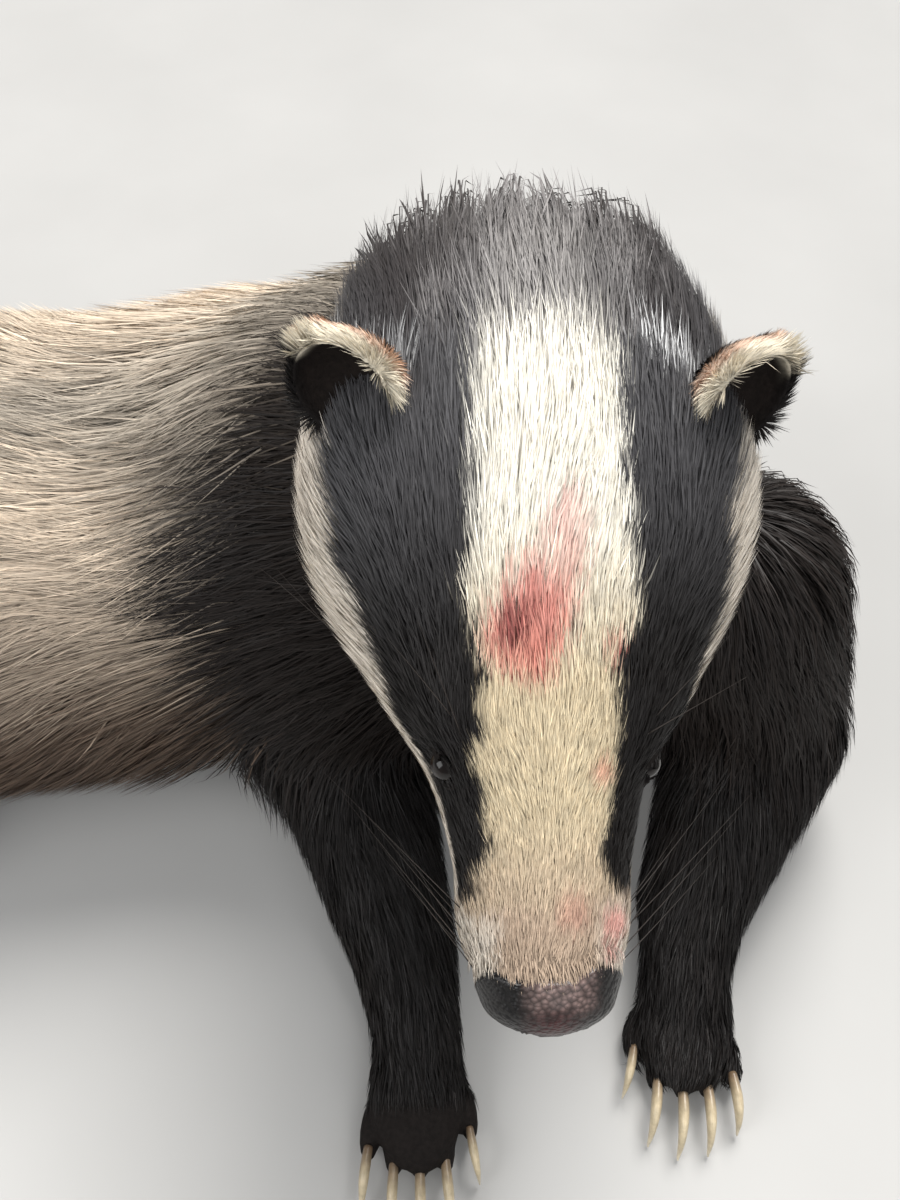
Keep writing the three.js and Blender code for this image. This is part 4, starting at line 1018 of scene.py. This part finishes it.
# Coat: tapered tufts rooted in the skin, laid along it in the way the hair grows
def unwrap(p):
    """Places on an unwrap of the skin: head, trunk, neck, tail and each leg as a sleeve."""
    sleeves = [
        (head_field(p), to_head(p)[:, 0] / 210, to_head(p)[:, 1:], (0.0, 0.0, 0.5, 0.5)),
        (trunk_field(p), (p[:, 0] + 460) / 600, p[:, 1:] - TRUNK_MIDDLE, (0.0, 0.5, 1.0, 0.5)),
    ]
    for n, (name, (_, balls)) in enumerate(CHAINS.items()):
        if name == "nape":
            continue
        a, b = np.array(balls[0][:3], float), np.array(balls[-1][:3], float)
        way = unit(b - a)
        side = unit(np.cross(way, [0.3, 0.2, 1]))
        across = np.stack([(p - a) @ side, (p - a) @ np.cross(way, side)], 1)
        along = (p - a) @ way / (np.linalg.norm(b - a) + 60) + 0.2
        box = (0.5 + 0.25 * (n % 2), 0.125 * (n // 2), 0.25, 0.125)
        sleeves.append((chain_field(p, balls), along, across, box))
    best = np.argmin([s[0] for s in sleeves], 0)
    out = np.zeros((len(p), 2))
    for n, (_, along, across, (left, low, wide, high)) in enumerate(sleeves):
        here = best == n
        angle = np.arctan2(across[:, 1], across[:, 0]) / tau + 0.5
        out[here, 0] = left + wide * (0.02 + 0.96 * np.clip(along[here], 0, 1))
        out[here, 1] = low + high * (0.02 + 0.96 * angle[here])
    return out


def scatter(points, faces, count, weight):
    """Roots spread over a surface by area and weight, with their surface normals."""
    corners = points[faces]
    cross = np.cross(corners[:, 1] - corners[:, 0], corners[:, 2] - corners[:, 0])
    area = np.linalg.norm(cross, axis=1) * weight(corners.mean(1), unit(cross))
    pick = rng.choice(len(faces), size=count, p=area / area.sum())
    a, b = rng.random((2, count))
    over = a + b > 1
    a[over], b[over] = 1 - a[over], 1 - b[over]
    c = corners[pick]
    roots = c[:, 0] + a[:, None] * (c[:, 1] - c[:, 0]) + b[:, None] * (c[:, 2] - c[:, 0])
    return roots, unit(cross[pick])


def scrambled(cells, seed):
    """A steady random number for each whole cell."""
    x = np.sin(cells @ np.array([127.1, 311.7, 74.7]) + seed * 17.3) * 43758.5453
    return x - np.floor(x)


def clumped(roots, scale, seed):
    """The centre of the wisp that each root belongs to."""
    cells = np.floor((roots + 0.5 * scale * wave_ways(roots, 2 * scale, seed)) / scale)
    jitter = np.stack([scrambled(cells, seed + n) for n in range(3)], 1)
    return (cells + 0.25 + 0.5 * jitter) * scale


def project(way, normal):
    return unit(way - normal * (way * normal).sum(1)[:, None])


def hold(p):
    """How closely hair follows the body, which it hardly does past the tail's end."""
    return 1 - 0.9 * smooth(-530 - p[:, 0], 40)


def grow(roots, normals, style):
    """Blades of hair: points, sideways axes and normals at each ring from root to tip."""
    coat = style["coat"](roots)
    way, long, stand = coat[:, :3], coat[:, 3], coat[:, 4]
    depth = coat_depth(roots)
    count = len(roots)
    long = long * (0.7 + 0.5 * rng.random(count))
    outward = np.maximum((way * normals).sum(1), 0)[:, None]
    normals = unit(normals - 0.98 * outward * way)
    wisp = style["clump"]
    way = project(way + style["drift"] * wave_ways(roots, wisp * 2.5, 40), normals)
    way = project(way + style["gather"] * (clumped(roots, wisp, 30) - roots) / wisp, normals)
    way = project(way + 0.1 * rng.normal(size=(count, 3)), normals)
    height = long * stand * (0.35 + 0.9 * rng.random(count))
    turned_by = np.clip(style["turned"] * rng.normal(size=count), -1.1, 1.1)
    rings = []
    p, normal, previous = roots - 0.5 * normals, normals, 0.0
    for t in style["rings"]:
        if t > 0:
            p = p + way * ((t - previous) * long)[:, None]
            wanted = height * np.interp(t, [0, 0.35, 0.75, 1], [0, 0.5, 0.88, 1])
            if style["follow"]:
                f, g = gradient(lambda q: body_lattice(q)[:, 0], p, 1.5)
                g = unit(g)
                held = hold(p)[:, None]
                g = g - (1 - held) * np.maximum((g * way).sum(1), 0)[:, None] * way
                normal = unit(normal + g)
                fall = np.clip(wanted - depth - f, -0.45 * long * (t - previous), 4)
                p = p + normal * fall[:, None] * held
                way = project(way, normal)
            else:
                p = p + normal * (wanted / (len(style["rings"]) - 1))[:, None]
        previous = t
        side = np.cross(normal, way)
        side = unit(side * np.cos(turned_by)[:, None] + normal * np.sin(turned_by)[:, None])
        rings.append((p, side, normal))
    return rings


def tufts(name, slot, count, weight, style, source=None):
    """One coat piece of many tapered tufts."""
    points, faces = source or (skin_points, skin_faces)
    roots, normals = scatter(points, faces, int(count * DENSITY), weight)
    count = len(roots)
    rings = grow(roots, normals, style)
    wide = style["wide"] * (0.7 + 0.6 * rng.random(count)) / DENSITY**0.5
    tint = style["colour"](roots + style["stray"] * rng.normal(size=roots.shape))
    lift = np.exp(style["varied"] * rng.normal(size=count))
    tilt = style["ruffled"] * rng.normal(size=(count, 3))
    banded = style["grizzle"](roots) * (rng.random(count) < 0.55)
    patch = unwrap(roots)
    columns = []
    for t, (p, side, normal) in zip(style["rings"], rings):
        # Each tuft is painted darker towards its root: painted shade among the hairs
        colour = tint * mix(style["root"], 1.0, smooth(t, 0.5)) * lift[:, None]
        dark = banded * np.interp(t, [0, 0.5, 0.8, 1], [0.1, 0.75, 0.9, 0.1])
        colour = fade(colour, BROWN_BLACK * 1.3, dark)
        half = wide * np.interp(t, [0, 0.4, 0.8, 1], [0.6, 1, 0.55, 0]) / 2
        for s in (-1, 1) if t < 1 else (0,):
            place = p + side * (s * half)[:, None]
            facing = unit(normal + 0.35 * side * s + tilt)
            spot = patch + 0.003 * np.array([0.5 * s, t - 0.5])
            columns.append(np.hstack([place, colour, facing, spot]))
    table = np.stack(columns, 1).reshape(-1, 11)
    table[:, 2] = np.maximum(table[:, 2], COAT_GAP)
    places, colours, facings, spots = np.split(table, [3, 6, 9], 1)
    last = len(rings) - 1
    quads = [[2 * i + 1, 2 * i, 2 * i + 2, 2 * i + 3] for i in range(last - 1)]
    pattern = np.array(sum(quads, []) + [2 * last - 1, 2 * last - 2, 2 * last])
    corners = (pattern + (2 * last + 1) * np.arange(count)[:, None]).ravel()
    totals = np.tile([4] * (last - 1) + [3], count)
    piece = make_mesh(name, places, (corners, totals), colours, facings, spots)
    piece.data.materials.append(hair)


def shown(p, n):
    """Nothing grows under the body, on the nose pad or on the rims of the eyelids."""
    bare = (p[:, 2] < 2) | ((n[:, 2] < -0.6) & (p[:, 2] < 30)) | (past_pad(p) < 0.5)
    for sign in (1, -1):
        centre, axes = eye_frame(sign)
        along, across, out = ((p - centre) @ axes.T).T
        bare |= (np.hypot(along / 4.6, across / 2.5) < 1) & (out > 0) & (out < 9)
    return ~bare


def region(p):
    """0 face, 1 crown and cheeks, 2 neck, 3 front of the trunk, 4 middle, 5 rump, 6 tail, 7 legs."""
    x, u = p[:, 0], to_head(p)[:, 0]
    on_head = (head_field(p) < 3) & (u < 182)
    legs = np.min([chain_field(p, CHAINS[name][1][1:]) for name in LEG_SWEEP], 0)
    paws = np.min([paw_field(p, paw) for paw in PAWS.values()], 0)
    neck = chain_field(p, CHAINS["neck"][1][:3]) < 14
    near = [on_head & (u < 72), on_head, np.minimum(legs, paws) < 3, neck]
    return np.select([*near, x < -455, x > -130, x > -300], [0, 1, 7, 2, 6, 3, 4], 5)


def in_region(number):
    return lambda p, n: (region(p) == number) * shown(p, n)


def grizzled(p):
    """Banded hairs on the back, sides and nape."""
    u, v, w = to_head(p).T
    back = smooth(-70 - p[:, 0], 60) * (0.3 + 0.7 * smooth(p[:, 2] - 135, 40))
    nape = smooth(u - 150, 30) * smooth(60 - np.abs(v), 30) * smooth(w + 20, 30)
    return np.maximum(0.75 * back, nape)


def face_coat(p):
    """The coat of the face, where more and more hairs hang over the pad's edge towards the nose."""
    coat = coat_lattice(p)
    chance = smooth(6 - past_pad(p), 6)
    over = np.where(scrambled(np.floor(p * 20), 5) < chance, 1.0, 0.0)
    way = unit(fade(coat[:, :3], turn_head([-1, 0, 0.2]), over))
    return np.column_stack([way, coat[:, 3] * (1 - 0.3 * over), coat[:, 4] + 0.3 * over])


# Styles: width, how far colours stray from their place, spread of lightness and of normals,
# size of the wisps, how far the hair drifts, gathers and turns, painted shade at the root, dark bands
BASE = dict(coat=coat_lattice, follow=True, colour=markings, rings=(0, 0.5, 1), wide=0.3, stray=0.5)
BASE |= dict(varied=0.12, ruffled=0.12, clump=6, drift=0.12, gather=0.15, turned=0.6, root=0.6)
BASE |= dict(grizzle=lambda p: 0)
SHORT = BASE | dict(coat=face_coat, clump=4, turned=0.35, root=0.75)
CROWN_FUR = BASE | dict(wide=0.4, stray=0.9, clump=7, turned=0.35, root=0.75)
CROWN_FUR |= dict(grizzle=lambda p: grizzled(p) * (to_head(p)[:, 0] > 140))
LONG = BASE | dict(rings=(0, 0.35, 0.7, 1), wide=0.7, stray=6, varied=0.18, ruffled=0.18)
LONG |= dict(clump=16, drift=0.22, gather=0.3, grizzle=grizzled)
LEGS = BASE | dict(wide=0.55, varied=0.3, ruffled=0.35, clump=8, root=0.5)


def ear_coat(sign):
    """Short hair combed along the rim, to the tip above and to the root below."""
    _, axes = ear_frame(sign)

    def coat(p):
        height, flat, inside = ear_places(p, sign)
        turn = np.arctan2(np.abs(flat[:, 1]), flat[:, 0])
        at_ends = smooth(0.75 - turn, 0.6) + smooth(turn - 2.4, 0.6)
        to_root = (2 * smooth(turn - 0.9, 1.4) - 1) * (1 - at_ends)
        along = -np.sin(turn) * to_root
        across = np.cos(turn) * to_root * np.sign(flat[:, 1]) * sign
        radial = 0.25 + 0.3 * (1 - np.abs(to_root)) + 0.6 * at_ends
        outwards = flat / np.maximum(np.linalg.norm(flat, axis=1), 1e-6)[:, None] * [1, sign]
        local = np.column_stack([along, across, 0.2 + 0 * along])
        local[:, :2] += radial[:, None] * outwards
        long = 4.2 + 1.6 * smooth(height, 3) - 1.8 * inside
        return np.column_stack([unit(local @ axes), long, 0.1 + 0 * long])

    return coat


for side, sign, shell in (("left", 1, shells[1]), ("right", -1, shells[2])):
    style = BASE | dict(coat=ear_coat(sign), follow=False, clump=3, stray=0.3)
    style |= dict(colour=lambda p, sign=sign: ear_colours(p, sign))
    tufts(f"coat_ear_{side}", "white_fur", 9000, lambda p, n: 1.0, style, shell)

# In the order of the regions
COATS = [
    ("coat_face", "white_fur", 60000, SHORT),
    ("coat_crown", "black_fur", 64000, CROWN_FUR),
    ("coat_neck", "black_fur", 38000, LONG | dict(clump=12)),
    ("coat_shoulders", "black_fur", 39000, LONG),
    ("coat_flanks", "grey_coat", 39000, LONG),
    ("coat_rump", "grey_coat", 39000, LONG),
    ("coat_tail", "grey_coat", 16000, LONG | dict(clump=10)),
    ("coat_legs", "black_fur", 60000, LEGS),
]
for number, (name, slot, count, style) in enumerate(COATS):
    tufts(name, slot, count, in_region(number), style)


# Whiskers: few, long and thin, on the muzzle, the brows and the cheeks, in the head frame:
# first root, step to the next, how many, length and the way they stand
WHISKERS = [
    ((15, 17, 0), (4.5, 0.9, 0.4), 4, 46, (0.9, 0.8, -0.1)),
    ((18, 17, -6), (4.5, 0.7, 0.2), 3, 38, (0.85, 0.75, -0.5)),
    ((67, 21, 22), (4, 2, 1), 2, 30, (0.5, 0.5, 0.7)),
    ((92, 47, -6), (5, 2, 0), 2, 34, (0.8, 0.7, -0.25)),
]
WHISKER_RINGS = 12
WHISKER_THICK = 0.34
WHISKER_OUTLINE = [(cos(a), sin(a)) for a in (pi / 3, pi, 5 * pi / 3)]


def whisker(root, way, long):
    """A thin three-sided hair that tapers and bends down to its tip."""
    t = np.linspace(0, 1, WHISKER_RINGS)
    path = root + long * (t[:, None] * way + 0.16 * t[:, None] ** 2 * [0, 0.3, -1])
    return tube(path, WHISKER_THICK / 2 * (1 - 0.85 * t), WHISKER_OUTLINE)


whiskers, whisker_roots = [], []
for first, step, count, long, way in WHISKERS:
    for sign in (1, -1):
        mirror = np.array([1, sign, 1])
        for n in range(count):
            root = from_head((np.array(first) + n * np.array(step)) * mirror)[None]
            for _ in range(4):
                f, g = gradient(body_field, root)
                root = root - unit(g) * (f[:, None] + 1.2)
            spread = turn_head(unit(np.array(way) * mirror + 0.12 * rng.normal(size=3)))
            whiskers.append(whisker(root[0], spread, long * (0.8 + 0.3 * rng.random())))
            whisker_roots += [root[0]] * (3 * WHISKER_RINGS)
points, faces = joined(whiskers)
patch = unwrap(np.array(whisker_roots))
piece = make_mesh("whiskers", points, faces, np.full(points.shape, screen(58, 52, 48)), uvs=patch)
piece.data.materials.append(hair)


# Stage: a pale floor, soft lights and the camera of the photograph
HEAD_CENTRE = to_model(from_head([100, 0, 0]))
FLOOR_HALF_SIDE = 6
FRAME_LONG_SIDE = 1200
FOCAL_PIXELS = 924
LOOKS_DOWN = 58


def add_light(name, kind, energy, colour, **settings):
    data = bpy.data.lights.new(name, kind)
    data.energy, data.color = energy, colour
    for key, value in settings.items():
        setattr(data, key, value)
    return add_object(name, data)


def area_light(name, away, size, power, colour=(1, 1, 1)):
    """A soft light that faces the head from a place this far from it."""
    lamp = add_light(name, "AREA", power, colour, size=size)
    lamp.location = HEAD_CENTRE + away
    lamp.rotation_euler = (0, np.arctan2(np.hypot(*away[:2]), away[2]), np.arctan2(away[1], away[0]))


floor_mesh = bpy.data.meshes.new("floor")
corners = [(x, y, 0) for x, y in ((-1, -1), (1, -1), (1, 1), (-1, 1))]
floor_mesh.from_pydata(corners, [], [(0, 1, 2, 3)])
floor = add_object("floor", floor_mesh)
floor.scale = (FLOOR_HALF_SIDE, FLOOR_HALF_SIDE, 1)
paint, shader, tree = material("floor", 0.8, 0.2)
pale = ramp(tree, noise(tree, 30), 0.3, screen(168, 167, 165), 0.7, screen(174, 173, 171))
tree.links.new(pale, shader.inputs["Base Color"])
floor_mesh.materials.append(paint)

world = bpy.data.worlds.new("studio")
world.use_nodes = True
background = world.node_tree.nodes["Background"]
background.inputs["Color"].default_value = (0.95, 0.97, 1, 1)
background.inputs["Strength"].default_value = 0.35
scene = bpy.context.scene
scene.world = world
scene.view_settings.view_transform = "Standard"
sun = add_light("key", "SUN", 5.4, (1, 0.985, 0.96), angle=radians(32))
sun.rotation_euler = (radians(-41), 0, radians(-16))
area_light("fill", (0.7, -1.1, 1.3), 1.4, 14, (0.96, 0.98, 1))
area_light("side", (-1.5, -0.6, 1.0), 1.2, 20)

camera_data = bpy.data.cameras.new("camera")
camera_data.sensor_width = 36
camera_data.lens = FOCAL_PIXELS / FRAME_LONG_SIDE * camera_data.sensor_width
camera_data.clip_start = 0.01
camera = add_object("camera", camera_data)
camera.location = to_model([0, 0, 445])
camera.rotation_euler = (radians(90 - LOOKS_DOWN), 0, 0)
scene.camera = camera
